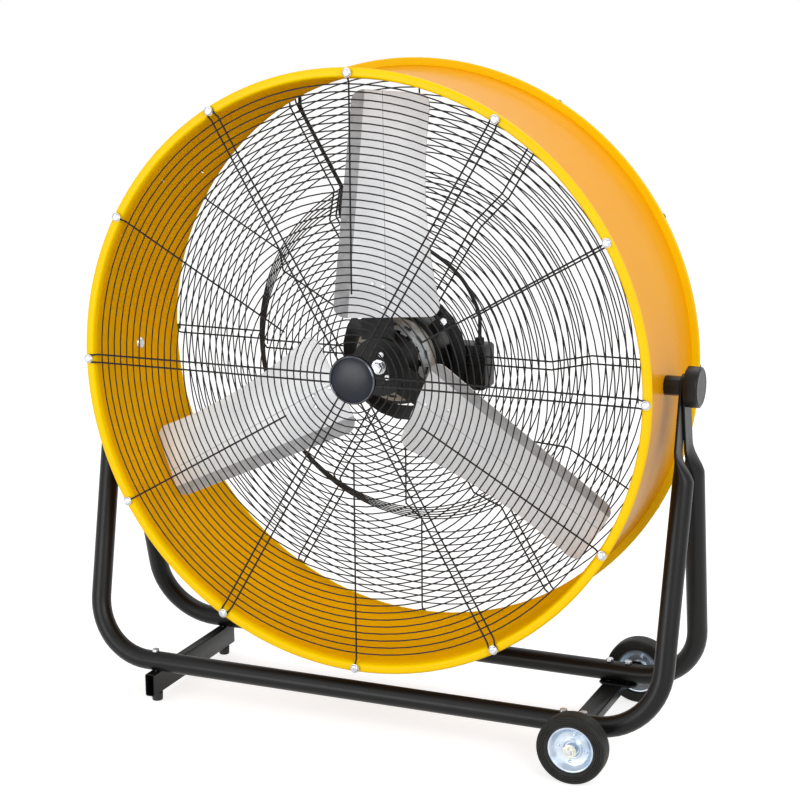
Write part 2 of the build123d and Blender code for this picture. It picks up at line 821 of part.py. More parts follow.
def leg_point(side, end, distance):
    """The point of a leg's centre line a distance below the pivot, for one end (+1 right, -1 left)."""
    top = Vector(end * TUBE_TOP, 0, PIVOT_HEIGHT)
    foot = Vector(end * TUBE_CORNER, side * TUBE_SPREAD, TUBE_HEIGHT)
    return top + (foot - top).normalized() * distance


def tube_path(side):
    """The round part's centre line, with each bend drawn as a few short straight pieces."""
    corners = [Vector(end * TUBE_CORNER, side * TUBE_SPREAD, TUBE_HEIGHT) for end in (1, -1)]
    ends = [leg_point(side, end, ROUND_FROM) for end in (1, -1)]
    line = FilletPolyline(ends[0], *corners, ends[1], radius=BEND_RADIUS)
    points = [ends[0]]
    for edge in line.edges().sort_by(Axis.X, reverse=True):
        pieces = BEND_PIECE_COUNT if edge.geom_type == GeomType.CIRCLE else 1
        steps = [edge @ (i / pieces) for i in range(pieces + 1)]
        if (steps[-1] - points[-1]).length < (steps[0] - points[-1]).length:
            steps.reverse()
        points += steps[1:]
    return points


def lean(side):
    """How far the plane of a tube leans from upright."""
    return degrees(atan2(side * TUBE_SPREAD, PIVOT_HEIGHT - TUBE_HEIGHT))


def tube_angles(side):
    """Directions of a section's corners, which put a flat underneath for the crossbars to seat on."""
    first = 180 / TUBE_SIDES - 90 - lean(side)
    return [first + 360 / TUBE_SIDES * i for i in range(TUBE_SIDES)]


def across_tube(side):
    """The direction square to the plane in which a tube is bent."""
    return Vector(0, cos(radians(lean(side))), sin(radians(lean(side))))


def round_sections(side, radius):
    """Sections along the round part, each one in the mitre plane of its two straight pieces."""
    across = across_tube(side)
    corner = radius / cos(pi / TUBE_SIDES)
    points = tube_path(side)
    sections = []
    for i, point in enumerate(points):
        before = (point - points[max(i - 1, 0)]).normalized() if i else Vector(0, 0, 0)
        after = Vector(0, 0, 0)
        if i < len(points) - 1:
            after = (points[i + 1] - point).normalized()
        inward = across.cross((before + after).normalized())
        mitre = 1 if before.length * after.length == 0 else (before + after).length / 2
        turns = [radians(angle) for angle in tube_angles(side)]
        sections.append([point + across * corner * cos(a) + inward * corner / mitre * sin(a) for a in turns])
    return sections


def flat_sections(side, end, layer):
    """Sections of an end pressed flat, from its rounded tip down past the pivot."""
    across = across_tube(side)
    down = Vector(0, sin(radians(lean(side))), -cos(radians(lean(side))))
    middle = Vector(end * (FLANGE_X + (layer + 0.5) * TUBE_FLAT), 0, PIVOT_HEIGHT)
    half = FLAT_WIDTH / 2
    places = [(-half * sin(radians(a)), half * cos(radians(a))) for a in FLAT_TIP_STEPS]
    sections = []
    for distance, width in places + [(FLAT_LENGTH, half)]:
        corners = []
        for angle in tube_angles(side):
            press = max(-1, min(1, 3 * sin(radians(angle)))) * TUBE_FLAT / 2
            sideways = across * width * cos(radians(angle)) - Vector(end, 0, 0) * press
            corners.append(middle + down * distance + sideways)
        sections.append(corners)
    return sections


def u_tube(side):
    """One bent tube of the frame: the front (-1) or rear (+1) one, with both ends pressed flat."""
    layer = 0 if side < 0 else 1
    right, left = [flat_sections(side, end, layer) for end in (1, -1)]
    tube = skin(right + round_sections(side, TUBE_RADIUS) + left[::-1])
    tube -= skin(round_sections(side, TUBE_RADIUS - TUBE_WALL))
    eye = rod(PIVOT_BOLT + RUNNING, FLANGE_X - 1, FLANGE_X + 2 * TUBE_FLAT + 1)
    for end in (1, -1):
        tube -= to_side(eye, end)
    for x in frame_bolt_places():
        tube -= bolt_hole(FRAME_BOLT, 0, 2 * TUBE_HEIGHT, x, side * TUBE_SPREAD)
    return tube


def frame_bolt_places():
    return (LEFT_BAR_X, *BRACKET_BOLTS)


def tube_bottom():
    return TUBE_HEIGHT - TUBE_RADIUS


def bar(width, height, length, top, x):
    """A rectangular tube along Y with open ends, its top at the given height."""
    outer = chamfer(Rectangle(width, height).vertices(), BAR_CORNER)
    section = outer - Rectangle(width - 2 * BAR_WALL, height - 2 * BAR_WALL)
    tube = Rot(90, 0, 0) * extrude(section, length / 2, both=True)
    return Pos(x, 0, top - height / 2) * tube


def left_crossbar():
    tube = bar(*LEFT_BAR, LEFT_BAR_LENGTH, tube_bottom(), LEFT_BAR_X)
    top = tube_bottom()
    for side in (1, -1):
        tube -= bolt_hole(FRAME_BOLT, top - 2 * BAR_WALL, top + 1, LEFT_BAR_X, side * TUBE_SPREAD)
    return tube


def right_crossbar():
    top = tube_bottom() - BRACKET
    tube = bar(*RIGHT_BAR, RIGHT_BAR_LENGTH, top, RIGHT_BAR_X)
    for side in (1, -1):
        tube -= bolt_hole(FRAME_BOLT, 0, top + 1, BRACKET_BOLTS[0], side * TUBE_SPREAD)
    return tube


def wheel_bracket(side):
    """An angle bracket between the tube and the crossbar, whose upright ear carries the wheel's axle."""
    top = tube_bottom()
    outer = EAR_FACE_Y
    plate = block(
        (BRACKET_LOW_X, BRACKET_HIGH_X),
        (BRACKET_INNER_Y, outer),
        (top - BRACKET, top),
    )
    plate = chamfer(plate.edges().filter_by(Axis.Z).sort_by(Axis.Y)[:2], 8)
    half = BRACKET_EAR_HALF
    ear = block(
        (WHEEL_X - half, WHEEL_X + half),
        (outer - BRACKET, outer),
        (WHEEL_RADIUS - half, BRACKET_EAR_TOP),
    )
    ear = chamfer(ear.edges().filter_by(Axis.Y), BRACKET_EAR_CORNER)
    bracket = plate + ear
    hole = bolt_hole(AXLE, -1, BRACKET + 1)
    bracket -= Pos(WHEEL_X, outer, WHEEL_RADIUS) * Rot(90, 0, 0) * hole
    room = NUT_ACROSS / 2 + AXLE_HEAD_ROOM
    bracket -= block(
        (WHEEL_X - room, WHEEL_X + room),
        (outer - BRACKET - HEAD_HEIGHT - AXLE_HEAD_ROOM, outer - BRACKET),
        (WHEEL_RADIUS - room, WHEEL_RADIUS + room),
    )
    for x in BRACKET_BOLTS:
        bracket -= bolt_hole(FRAME_BOLT, top - BRACKET - 1, top + 1, x, TUBE_SPREAD)
    return bracket if side > 0 else mirror(bracket, Plane.XZ)


def frame_bolt(x, y, nut_seat):
    """A hexagon bolt down through a tube, with its nut under the seat below."""
    head = TUBE_HEIGHT + TUBE_RADIUS
    bolt = shank(FRAME_BOLT, nut_seat - HEAD_HEIGHT - 1, head, x, y)
    bolt += hexagon(HEAD_ACROSS, head, head + HEAD_HEIGHT, x, y)
    bolt += hexagon(HEAD_ACROSS, nut_seat - HEAD_HEIGHT, nut_seat, x, y)
    return bolt


def frame_bolts():
    top = tube_bottom()
    seats = {
        LEFT_BAR_X: top - BAR_WALL,
        BRACKET_BOLTS[0]: top - BRACKET - RIGHT_BAR[1],
        BRACKET_BOLTS[1]: top - BRACKET,
    }
    places = [(x, side * TUBE_SPREAD, seat) for x, seat in seats.items() for side in (1, -1)]
    return group([frame_bolt(*place) for place in places])


def rubber_feet():
    height = tube_bottom() - LEFT_BAR[1]
    foot = turned(16, (0, 0), (FOOT_RADIUS - 1, 0), (FOOT_RADIUS, height), (0, height))
    return group([Pos(LEFT_BAR_X, side * TUBE_SPREAD, 0) * foot for side in (1, -1)])


# ---- Wheels ----------------------------------------------------------------------------------------
# Each wheel is modelled about local Z with its middle at the origin, and turned outwards.


def to_wheel(part, side):
    return Pos(WHEEL_X, side * WHEEL_Y, WHEEL_RADIUS) * Rot(-90 * side, 0, 0) * part


def wheel_tyre(side):
    half = WHEEL_WIDTH / 2
    outline = [(RIM_RADIUS, -RIM_HALF), (WHEEL_RADIUS - TREAD_DROP, -half), (WHEEL_RADIUS, TREAD_DROP - half)]
    outline += [(r, -h) for r, h in reversed(outline)]
    return to_wheel(turned(TYRE_FLATS, *outline), side)


def wheel_disc(side):
    disc = turned(TYRE_FLATS, (0, -RIM_HALF), (RIM_RADIUS, -RIM_HALF), (RIM_RADIUS, RIM_HALF), (0, RIM_HALF))
    disc += turned(12, (0, -HUB_HALF), (HUB_TUBE, -HUB_HALF), (HUB_TUBE, HUB_HALF), (0, HUB_HALF))
    return to_wheel(disc - rod(AXLE + RUNNING, -HUB_HALF - 1, HUB_HALF + 1), side)


def axle_bolts():
    """Axle bolts from the inside of each bracket ear out through the wheel."""
    ear = EAR_FACE_Y - BRACKET - WHEEL_Y
    outer = HUB_HALF + WASHER + NUT_HEIGHT + 2
    bolt = rod(AXLE, ear, outer) + hexagon(NUT_ACROSS, ear - HEAD_HEIGHT, ear)
    return group([to_wheel(bolt, side) for side in (1, -1)])


def ring(sides, inner, outer, low, high):
    """A plain turned ring."""
    return turned(sides, (inner, low), (outer, low), (outer, high), (inner, high))


def axle_nuts():
    """On each axle, the collar between the bracket and the wheel, and the washer and nut outside."""
    seat = HUB_HALF + WASHER
    bore = AXLE + SEAT_GAP
    collar = ring(8, bore, COLLAR_RADIUS, EAR_FACE_Y - WHEEL_Y, -HUB_HALF)
    washer = ring(8, bore, NUT_ACROSS * 0.7, HUB_HALF, seat)
    nut = ring(6, bore, NUT_ACROSS / 2, seat, seat + NUT_HEIGHT)
    return group([to_wheel(part, side) for part in (collar, washer + nut) for side in (1, -1)])


# ---- Assembly --------------------------------------------------------------------------------------


def drum_parts():
    """The sub-parts modelled about the drum's axis."""
    parts = {
        "drum_shell": drum_shell(),
        "front_guard": front_guard(),
        "rear_guard": rear_guard(),
        "front_guard_screws": group(guard_screws()),
        "rear_guard_screws": Rot(0, 180, 0) * group(guard_screws()),
        "centre_plate": centre_plate(),
        "cap_rim": cap_rim(),
        "centre_cap": centre_cap(),
        "motor_ring_plate": ring_plate(),
        "motor_body": motor_body(),
        "motor_front_bell": motor_front_bell(),
        "motor_bolts": motor_bolts(),
        "junction_box": junction_box(),
        "motor_lead": motor_lead(),
        "motor_shaft": motor_shaft(),
        "hub_spider": hub_spider(),
        "hub_fasteners": hub_fasteners(),
        "switch_box": switch_box(),
        "switch_box_screws": switch_screws(),
        "switch_dial": switch_dial(),
    }
    rivets = blade_rivets()
    for i in range(BLADE_COUNT):
        turn = Rot(0, 0, BLADE_FIRST_ANGLE + 360 / BLADE_COUNT * i)
        parts[f"blade_{i + 1}"] = turn * blade()
        parts[f"blade_rivets_{i + 1}"] = turn * rivets
    return parts


def frame_parts():
    parts = {
        "pivot_bolts": pivot_bolts(),
        "pivot_spacers": pivot_spacers(),
        "tilt_knob_right": tilt_knob(1),
        "tilt_knob_left": tilt_knob(-1),
        "front_u_tube": u_tube(-1),
        "rear_u_tube": u_tube(1),
        "left_crossbar": left_crossbar(),
        "right_crossbar": right_crossbar(),
        "frame_bolts": frame_bolts(),
        "rubber_feet": rubber_feet(),
        "axle_bolts": axle_bolts(),
        "axle_nuts": axle_nuts(),
    }
    for name, side in (("front", -1), ("rear", 1)):
        parts[f"{name}_wheel_bracket"] = wheel_bracket(side)
        parts[f"{name}_wheel_tyre"] = wheel_tyre(side)
        parts[f"{name}_wheel_disc"] = wheel_disc(side)
    return parts


def main():
    os.makedirs("parts", exist_ok=True)
    parts = {name: HEAD * part for name, part in drum_parts().items()}
    parts.update(frame_parts())
    for name, part in parts.items():
        export_step(group([part]), f"parts/{name}.step")


main()
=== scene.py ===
# %% [markdown]
# # A drum fan, dressed for its portrait
# The CAD model gives every part its place and size, with plain flats where the real part is
# round. In this lesson each part gets its true roundness, its small detail and its finish. All
# lengths are metres, +Z is up and the fan blows towards -Y.

# %% Load the frame
from math import acos, asin, cos, pi, radians, sin, sqrt

import bmesh
import bpy
from mathutils import Matrix, Vector


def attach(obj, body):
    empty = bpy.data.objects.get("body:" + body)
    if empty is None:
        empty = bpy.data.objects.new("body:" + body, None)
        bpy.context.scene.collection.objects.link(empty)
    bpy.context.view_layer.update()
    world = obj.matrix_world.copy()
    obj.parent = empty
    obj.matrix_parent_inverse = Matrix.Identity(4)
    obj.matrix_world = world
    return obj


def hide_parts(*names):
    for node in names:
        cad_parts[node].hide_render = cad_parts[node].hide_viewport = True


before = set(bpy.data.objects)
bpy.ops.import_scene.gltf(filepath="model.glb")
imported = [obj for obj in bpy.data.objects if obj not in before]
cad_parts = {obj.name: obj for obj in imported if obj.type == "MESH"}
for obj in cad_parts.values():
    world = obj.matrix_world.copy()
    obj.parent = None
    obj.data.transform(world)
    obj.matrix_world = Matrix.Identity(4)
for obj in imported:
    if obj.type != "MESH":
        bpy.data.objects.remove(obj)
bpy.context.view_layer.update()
MM = 0.001
PIVOT = 0.679  # height of the drum's axis above the floor
MIDDLE = Vector((0, 0, PIVOT))

# %% [markdown]
# ## Working on one object at a time
# Blender's operators act on whatever is selected, so small helpers first let go of everything
# and then take hold of one object. Another pair closes a mesh and finishes a piece: its place
# goes into its mesh, it gets its material, and it is told which body carries it.

# %% Helpers for selecting and finishing
MERGE = 1e-6  # points closer than this are one point


def let_go():
    """Leaves edit mode and selects nothing."""
    if bpy.context.mode != "OBJECT":
        bpy.ops.object.mode_set(mode="OBJECT")
    bpy.ops.object.select_all(action="DESELECT")


def alone(obj, mode="OBJECT"):
    """Selects one object and nothing else, in object or edit mode."""
    let_go()
    obj.select_set(True)
    bpy.context.view_layer.objects.active = obj
    bpy.ops.object.mode_set(mode=mode)


def edit_all(obj):
    """Opens one object in edit mode with all of its mesh selected."""
    alone(obj, "EDIT")
    bpy.ops.mesh.select_all(action="SELECT")


def closed(obj, crease):
    """Merges doubled points, turns the faces outwards and smooths edges flatter than the crease."""
    edit_all(obj)
    bpy.ops.mesh.remove_doubles(threshold=MERGE)
    bpy.ops.mesh.normals_make_consistent(inside=False)
    alone(obj)
    bpy.ops.object.shade_smooth_by_angle(angle=radians(crease))
    return obj


def settle(obj, body, finish, slot, *nodes):
    """Puts a finished piece on its body, in place of the CAD nodes it stands for."""
    alone(obj)
    bpy.ops.object.transform_apply(location=True, rotation=True, scale=True)
    obj.data.materials.clear()
    obj.data.materials.append(finish)
    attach(obj, body)
    if nodes:
        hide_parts(*nodes)
    print(obj.name, len(obj.data.polygons), "faces")
    return obj


def joined(name, pieces):
    """Joins several objects into the first of them."""
    let_go()
    for piece in pieces:
        piece.select_set(True)
    bpy.context.view_layer.objects.active = pieces[0]
    bpy.ops.object.join()
    pieces[0].name = name
    return pieces[0]


# %% [markdown]
# ## Shader nodes
# Materials, floor and world are all built from the same few nodes, so each gets a helper that
# adds one node to a tree, links its inputs and hands back its output.

# %% Helpers for shader nodes
def shade(red, green, blue):
    """A colour given as 0 to 255, as light values."""
    values = [v / 255 for v in (red, green, blue)]
    light = [v / 12.92 if v < 0.04045 else ((v + 0.055) / 1.055) ** 2.4 for v in values]
    return (*light, 1.0)


def noise(tree, place, scale, detail=3.0):
    """A cloudy pattern from 0 to 1; a larger scale makes smaller clouds."""
    texture = tree.nodes.new("ShaderNodeTexNoise")
    texture.inputs["Scale"].default_value = scale
    texture.inputs["Detail"].default_value = detail
    tree.links.new(place, texture.inputs["Vector"])
    return texture.outputs["Fac"]


def ramp(tree, fac, dark, light):
    """A colour ramp from a dark shade to a light one over the middle of the noise."""
    node = tree.nodes.new("ShaderNodeValToRGB")
    for element, position, colour in zip(node.color_ramp.elements, (0.3, 0.7), (dark, light)):
        element.position = position
        element.color = shade(*colour)
    tree.links.new(fac, node.inputs["Fac"])
    return node.outputs["Color"]


def maths(tree, operation, first, second=0.0, clamp=False):
    """One sum on two values, each a number or another node's output."""
    node = tree.nodes.new("ShaderNodeMath")
    node.operation = operation
    node.use_clamp = clamp
    for socket, value in zip(node.inputs, (first, second)):
        if isinstance(value, float):
            socket.default_value = value
        else:
            tree.links.new(value, socket)
    return node.outputs["Value"]


def blend(tree, fac, under, over):
    """A mix of two colours; the Mix node keeps its colour sockets behind those of other types."""
    node = tree.nodes.new("ShaderNodeMix")
    node.data_type = "RGBA"
    tree.links.new(fac, node.inputs["Factor"])
    tree.links.new(under, node.inputs[6])
    tree.links.new(over, node.inputs[7])
    return node.outputs[2]


def between(tree, fac, low, high):
    """A value that runs from low to high as fac runs from 0 to 1."""
    node = tree.nodes.new("ShaderNodeMapRange")
    node.inputs["To Min"].default_value = low
    node.inputs["To Max"].default_value = high
    tree.links.new(fac, node.inputs["Value"])
    return node.outputs["Result"]


# %% [markdown]
# ## Finishes
# Painted, plated and moulded surfaces are never one flat colour. Each finish here drifts slowly
# between two shades, has a fine grain in its bump, and varies a little in gloss. All patterns
# read object coordinates in metres, so a scale of 500 means marks about 2 mm across.

# %% Build a finish from two shades
WEAR = 9  # the gloss varies in patches this many times smaller than the colour's
BUMP_HEIGHT = 0.0003


def principled(material):
    """The inputs of a material's main shader."""
    return material.node_tree.nodes["Principled BSDF"].inputs


def finish(name, light, dark, gloss, patch, grain, depth, metal=0.0):
    """A material that drifts from light to dark, with gloss (low, high) as its roughness range.

    A larger patch or grain makes smaller marks, and depth is how strongly the grain shows.
    """
    material = bpy.data.materials.new(name)
    material.use_nodes = True
    tree = material.node_tree
    surface = principled(material)
    surface["Metallic"].default_value = metal
    place = tree.nodes.new("ShaderNodeTexCoord").outputs["Object"]
    drift = noise(tree, place, patch)
    tree.links.new(ramp(tree, drift, dark, light), surface["Base Color"])
    wear = noise(tree, place, patch * WEAR, 5.0)
    tree.links.new(between(tree, wear, *gloss), surface["Roughness"])
    bump = tree.nodes.new("ShaderNodeBump")
    bump.inputs["Strength"].default_value = depth
    bump.inputs["Distance"].default_value = BUMP_HEIGHT
    tree.links.new(noise(tree, place, grain, 2.0), bump.inputs["Height"])
    tree.links.new(bump.outputs["Normal"], surface["Normal"])
    return material


# %% Mix the metals
bright_zinc = finish(
    "bright_zinc", (226, 228, 230), (184, 188, 194), (0.2, 0.36),
    metal=1.0, patch=90, grain=1500, depth=0.08,
)
wheel_zinc = finish(
    "wheel_zinc", (220, 229, 239), (176, 194, 214), (0.24, 0.4),
    metal=0.85, patch=40, grain=1200, depth=0.1,
)
yellow_zinc = finish(
    "yellow_zinc", (238, 238, 224), (208, 208, 190), (0.22, 0.36),
    metal=0.9, patch=120, grain=1500, depth=0.08,
)
blade_metal = finish(
    "blade_aluminium", (220, 221, 223), (198, 200, 203), (0.34, 0.46),
    metal=0.45, patch=9, grain=700, depth=0.1,
)
# The blades' folded strip and scored line: the blade metal painted darker, painted shade.
fold_painted_shade = finish(
    "fold_aluminium_painted_shade", (166, 167, 169), (142, 143, 146), (0.42, 0.52),
    metal=0.35, patch=60, grain=900, depth=0.2,
)
motor_grey = finish(
    "motor_grey", (170, 178, 184), (130, 137, 142), (0.3, 0.46),
    metal=0.2, patch=60, grain=700, depth=0.5,
)
# The cap ring's chrome, darkened to stand for the dark things it reflects: a painted reflection.
cap_bright = finish(
    "cap_bright", (104, 107, 112), (70, 73, 78), (0.1, 0.2),
    metal=1.0, patch=60, grain=1500, depth=0.05,
)

# %% Mix the black paints, plastics and rubbers
guard_black = finish(
    "guard_black", (22, 22, 24), (12, 12, 14), (0.3, 0.44),
    patch=14, grain=900, depth=0.15,
)
frame_black = finish(
    "frame_black", (19, 19, 19), (12, 12, 12), (0.3, 0.42),
    patch=6, grain=1100, depth=0.2,
)
motor_black = finish(
    "motor_black", (22, 23, 24), (13, 13, 14), (0.36, 0.55),
    patch=30, grain=800, depth=0.45,
)
black_plastic = finish(
    "black_plastic", (27, 27, 26), (18, 18, 17), (0.28, 0.4),
    patch=18, grain=1600, depth=0.25,
)
cap_blue = finish(
    "cap_blue", (24, 30, 42), (13, 17, 25), (0.24, 0.34),
    patch=16, grain=1400, depth=0.06,
)
cord_black = finish(
    "cord_black", (26, 26, 27), (16, 16, 17), (0.45, 0.6),
    patch=40, grain=1300, depth=0.3,
)
foot_rubber = finish(
    "foot_rubber", (36, 36, 36), (22, 22, 22), (0.6, 0.8),
    patch=60, grain=900, depth=0.4,
)
tyre_black = finish(
    "tyre_black", (40, 41, 38), (25, 26, 24), (0.5, 0.68),
    patch=40, grain=900, depth=0.4,
)
principled(cap_blue)["Specular IOR Level"].default_value = 0.25
for dull in (guard_black, frame_black, black_plastic, motor_black, tyre_black):
    principled(dull)["Specular IOR Level"].default_value = 0.24
print("finishes", len(bpy.data.materials))

# %% [markdown]
# ## Yellow paint
# The drum is powder coated: a smooth yellow with a fine orange-peel skin, one paint all over.
# Its colour is painted light: the rolled lips take a cleaner, paler yellow, a painted highlight,
# the outside of the wall a warmer one, and the inside a brighter yellow, painted light that lifts
# the shade inside the drum. The wall and its lips differ by their distance from the drum's axis
# and by their depth, so both are worked out from object coordinates and drive the blend between the
# shades.

# %% Build the yellow paint
WALL_INSIDE, WALL_OUTSIDE = 530.0, 531.5
FLARE_START = 102.5  # depth at which the wall leaves the straight hoop
LIP_START = 153.2  # depth at which the lips' painted highlight begins
FLARE_RATE = 2.2  # how fast the wall widens past FLARE_START, per metre squared


def yellow_paint():
    material = finish(
        "drum_yellow", (240, 166, 0), (233, 156, 0), (0.3, 0.42), patch=3, grain=700, depth=0.1
    )
    tree = material.node_tree
    surface = principled(material)
    outside = surface["Base Color"].links[0].from_socket
    place = tree.nodes.new("ShaderNodeTexCoord").outputs["Object"]
    split = tree.nodes.new("ShaderNodeSeparateXYZ")
    tree.links.new(place, split.inputs["Vector"])
    across, height = split.outputs["X"], maths(tree, "SUBTRACT", split.outputs["Z"], PIVOT)
    squares = [maths(tree, "MULTIPLY", side, side) for side in (across, height)]
    radius = maths(tree, "SQRT", maths(tree, "ADD", *squares))
    depth = maths(tree, "ABSOLUTE", split.outputs["Y"])
    past_start = maths(tree, "MAXIMUM", maths(tree, "SUBTRACT", depth, FLARE_START * MM))
    flare = maths(tree, "MULTIPLY", maths(tree, "MULTIPLY", past_start, past_start), FLARE_RATE)
    half_way = (WALL_INSIDE + WALL_OUTSIDE) / 2 * MM
    inside = maths(tree, "LESS_THAN", maths(tree, "SUBTRACT", radius, flare), half_way)
    on_lip = maths(tree, "GREATER_THAN", depth, LIP_START * MM)
    patches = noise(tree, place, 4.0)
    # Painted light: the inside is painted brighter than the outside to lift its shade, and the lips
    # a paler yellow as a painted highlight.
    inside_painted_light = ramp(tree, patches, (250, 178, 0), (255, 190, 3))
    lip_painted_highlight = ramp(tree, patches, (245, 196, 0), (250, 204, 0))
    painted = blend(tree, on_lip, blend(tree, inside, outside, inside_painted_light), lip_painted_highlight)
    tree.links.new(painted, surface["Base Color"])
    shine = maths(tree, "MULTIPLY", maths(tree, "SUBTRACT", 1.0, inside), 0.14)
    tree.links.new(shine, surface["Specular IOR Level"])
    return material


drum_yellow = yellow_paint()
print("drum_yellow ready")

# %% [markdown]
# ## Turning a part on the lathe
# Almost everything on a fan is round. The drum shell, the wheels, the screws and the caps are
# outlines swept round an axis. An edge loop is added, its points are set to the outline, and
# Spin carries it round. An outline that touches the axis loses its edge along the axis first,
# so that its pole closes in one point.

# %% A helper that spins an outline
def spun(name, outline, steps, centre=(0.0, PIVOT), crease=32):
    """Spins (radius, y) points in millimetres round an axis along Y through centre (x, z)."""
    let_go()
    bpy.ops.mesh.primitive_circle_add(vertices=len(outline), radius=0.1)
    obj = bpy.context.object
    obj.name = name
    for vertex, (radius, y) in zip(obj.data.vertices, outline):
        vertex.co = (centre[0] + radius * MM, y * MM, centre[1])
    alone(obj, "EDIT")
    mesh = bmesh.from_edit_mesh(obj.data)
    on_axis = [e for e in mesh.edges if all(abs(v.co.x - centre[0]) < 1e-7 for v in e.verts)]
    bmesh.ops.delete(mesh, geom=on_axis, context="EDGES")
    bmesh.update_edit_mesh(obj.data)
    bpy.ops.mesh.select_all(action="SELECT")
    bpy.ops.mesh.spin(steps=steps, angle=2 * pi, center=(centre[0], 0, centre[1]), axis=(0, 1, 0))
    return closed(obj, crease)


def arc(centre, radius, start, end, steps):
    """Points (radius, y) on an arc, with angles in degrees."""
    turns = [radians(start + (end - start) * i / steps) for i in range(steps + 1)]
    return [(centre[0] + radius * cos(a), centre[1] + radius * sin(a)) for a in turns]


# %% [markdown]
# ## The drum shell
# The drum is one sheet rolled into a hoop. Towards both ends it flares a little on the inside,
# sinks into a cove on the outside, and is rolled over into a fat rounded lip. One outline holds
# all of that. It is written for one half and mirrored, so both lips are the same.

# %% Spin the drum shell
def widening(radius, growth, length, steps=8):
    """Points where the wall leaves the straight hoop and widens along a parabola."""
    shares = [i / steps for i in range(steps + 1)]
    return [(radius + growth * share**2, FLARE_START + length * share) for share in shares]


lip = arc((540.5, 158.5), 5, 180, 90, 5)[1:] + arc((547.5, 158.5), 5, 90, 0, 5)
lip += arc((550, 156), 2.5, 0, -90, 3)[1:]
half = widening(WALL_INSIDE, 5.5, 56) + lip + widening(WALL_OUTSIDE, 7, 51)[::-1]
shell = spun("drum_shell_sheet", half + [(r, -y) for r, y in reversed(half)], 160)
settle(shell, "drum", drum_yellow, "drum_yellow", "drum_shell")

# %% [markdown]
# ## Guard wire
# The front guard is one wire wound into a flat spiral. A real winding machine turns a former,
# and Blender's Spin does the same: a small ring is carried half a turn round one centre, then
# half a turn round a second centre a little to the side, so that each half turn is a bit
# smaller than the last and the wire never jumps. Wide turns need more steps than tight ones.

# %% A helper that winds a spiral
PITCH = 13.4
WIRE, RIB = 1.3, 1.7  # radii of the spiral's wire and of the ribs
FIELD_EDGE, FIELD_DEPTH = 527.5, 156.8
PLATEAU_EDGE, PLATEAU_DEPTH = 289.8, 78.1
SAG = 0.32  # how far the middle of a straight step may lie inside the true round


def wound(name, start, half_turns, y, side):
    """A flat spiral wound inwards: side 1 faces the front and starts on the right, -1 the rear."""
    let_go()
    bpy.ops.mesh.primitive_circle_add(
        vertices=8, radius=WIRE * MM, fill_type="NGON", location=(side * start * MM, y * MM, PIVOT)
    )
    obj = bpy.context.object
    obj.name = name
    edit_all(obj)
    radius = start - PITCH / 4
    for i in range(half_turns):
        middle = side * PITCH / 4 * (1 if i % 2 == 0 else -1)
        steps = max(14, round(pi / (2 * acos(1 - SAG / radius))))
        centre = (middle * MM, 0, PIVOT)
        bpy.ops.mesh.spin(steps=steps, angle=side * pi, center=centre, axis=(0, 1, 0))
        radius -= PITCH / 2
    return closed(obj, 60)


# %% Wind the front spiral
front_spiral = wound("front_guard_spiral", FIELD_EDGE, 70, -FIELD_DEPTH, 1)
settle(front_spiral, "drum", guard_black, "guard_black", "front_guard")

# %% [markdown]
# ## Bent wire and bent tube
# The ribs and the frame's tubes are wires and tubes bent at corners. A filled ring is extruded
# from corner to corner. At each corner its points slide along the run until they lie in the
# plane that halves the bend, which keeps the wire's thickness on both sides. A soft bend is
# simply a corner drawn as several small ones.

# %% A helper that bends wire
def bent(name, radius, corners, sides=8):
    """Extrudes a ring through corners given in metres."""
    points = [Vector(corner) for corner in corners]
    runs = [(b - a).normalized() for a, b in zip(points, points[1:])]
    let_go()
    bpy.ops.mesh.primitive_circle_add(
        vertices=sides, radius=radius * MM, fill_type="NGON", location=points[0],
        rotation=runs[0].to_track_quat("Z", "Y").to_euler(),
    )
    obj = bpy.context.object
    obj.name = name
    bpy.ops.object.transform_apply(location=True, rotation=True, scale=True)
    edit_all(obj)
    for i in range(1, len(points)):
        move = points[i] - points[i - 1]
        bpy.ops.mesh.extrude_region_move(TRANSFORM_OT_translate={"value": move})
        across = runs[i - 1] + (runs[i] if i < len(runs) else runs[i - 1])
        mesh = bmesh.from_edit_mesh(obj.data)
        for vertex in [v for v in mesh.verts if v.select]:
            slide = (points[i] - vertex.co).dot(across) / runs[i - 1].dot(across)
            vertex.co += runs[i - 1] * slide
        bmesh.update_edit_mesh(obj.data)
    return closed(obj, 50)


# %% A helper that sets copies round the drum
def about_drum(angle):
    """A turn about the drum's axis, from +X towards +Z, in degrees."""
    there = Matrix.Translation(MIDDLE)
    return there @ Matrix.Rotation(-radians(angle), 4, "Y") @ there.inverted()


def set_round(name, obj, count, first=0.0):
    """Copies a piece evenly round the drum's axis, each copy with its own mesh, and joins them."""
    copies = []
    for i in range(count):
        copy = obj.copy()
        copy.data = obj.data.copy()
        copy.data.transform(about_drum(first + 360 * i / count))
        bpy.context.scene.collection.objects.link(copy)
        copies.append(copy)
    bpy.data.objects.remove(obj)
    return joined(name, copies)


# %% [markdown]
# ## The ribs
# Six hairpins run from the middle out to the lip: two wires side by side, bent up over the lip
# and round a screw in one loop. Between them lie six single wires, which start further out.
# Both guards have them, so one helper bends them for either side.

# %% A helper that bends one guard's ribs
RIB_DEPTH, LIP_DEPTH = 159.8, 165.6  # of ribs lying on the field's wire and on the lip
RIB_PLATEAU = 81.1  # of ribs lying on the plateau's wire
PAIR_OFFSET, LOOP_RADIUS, LOOP_MIDDLE = 7.6, 6.6, 542.5


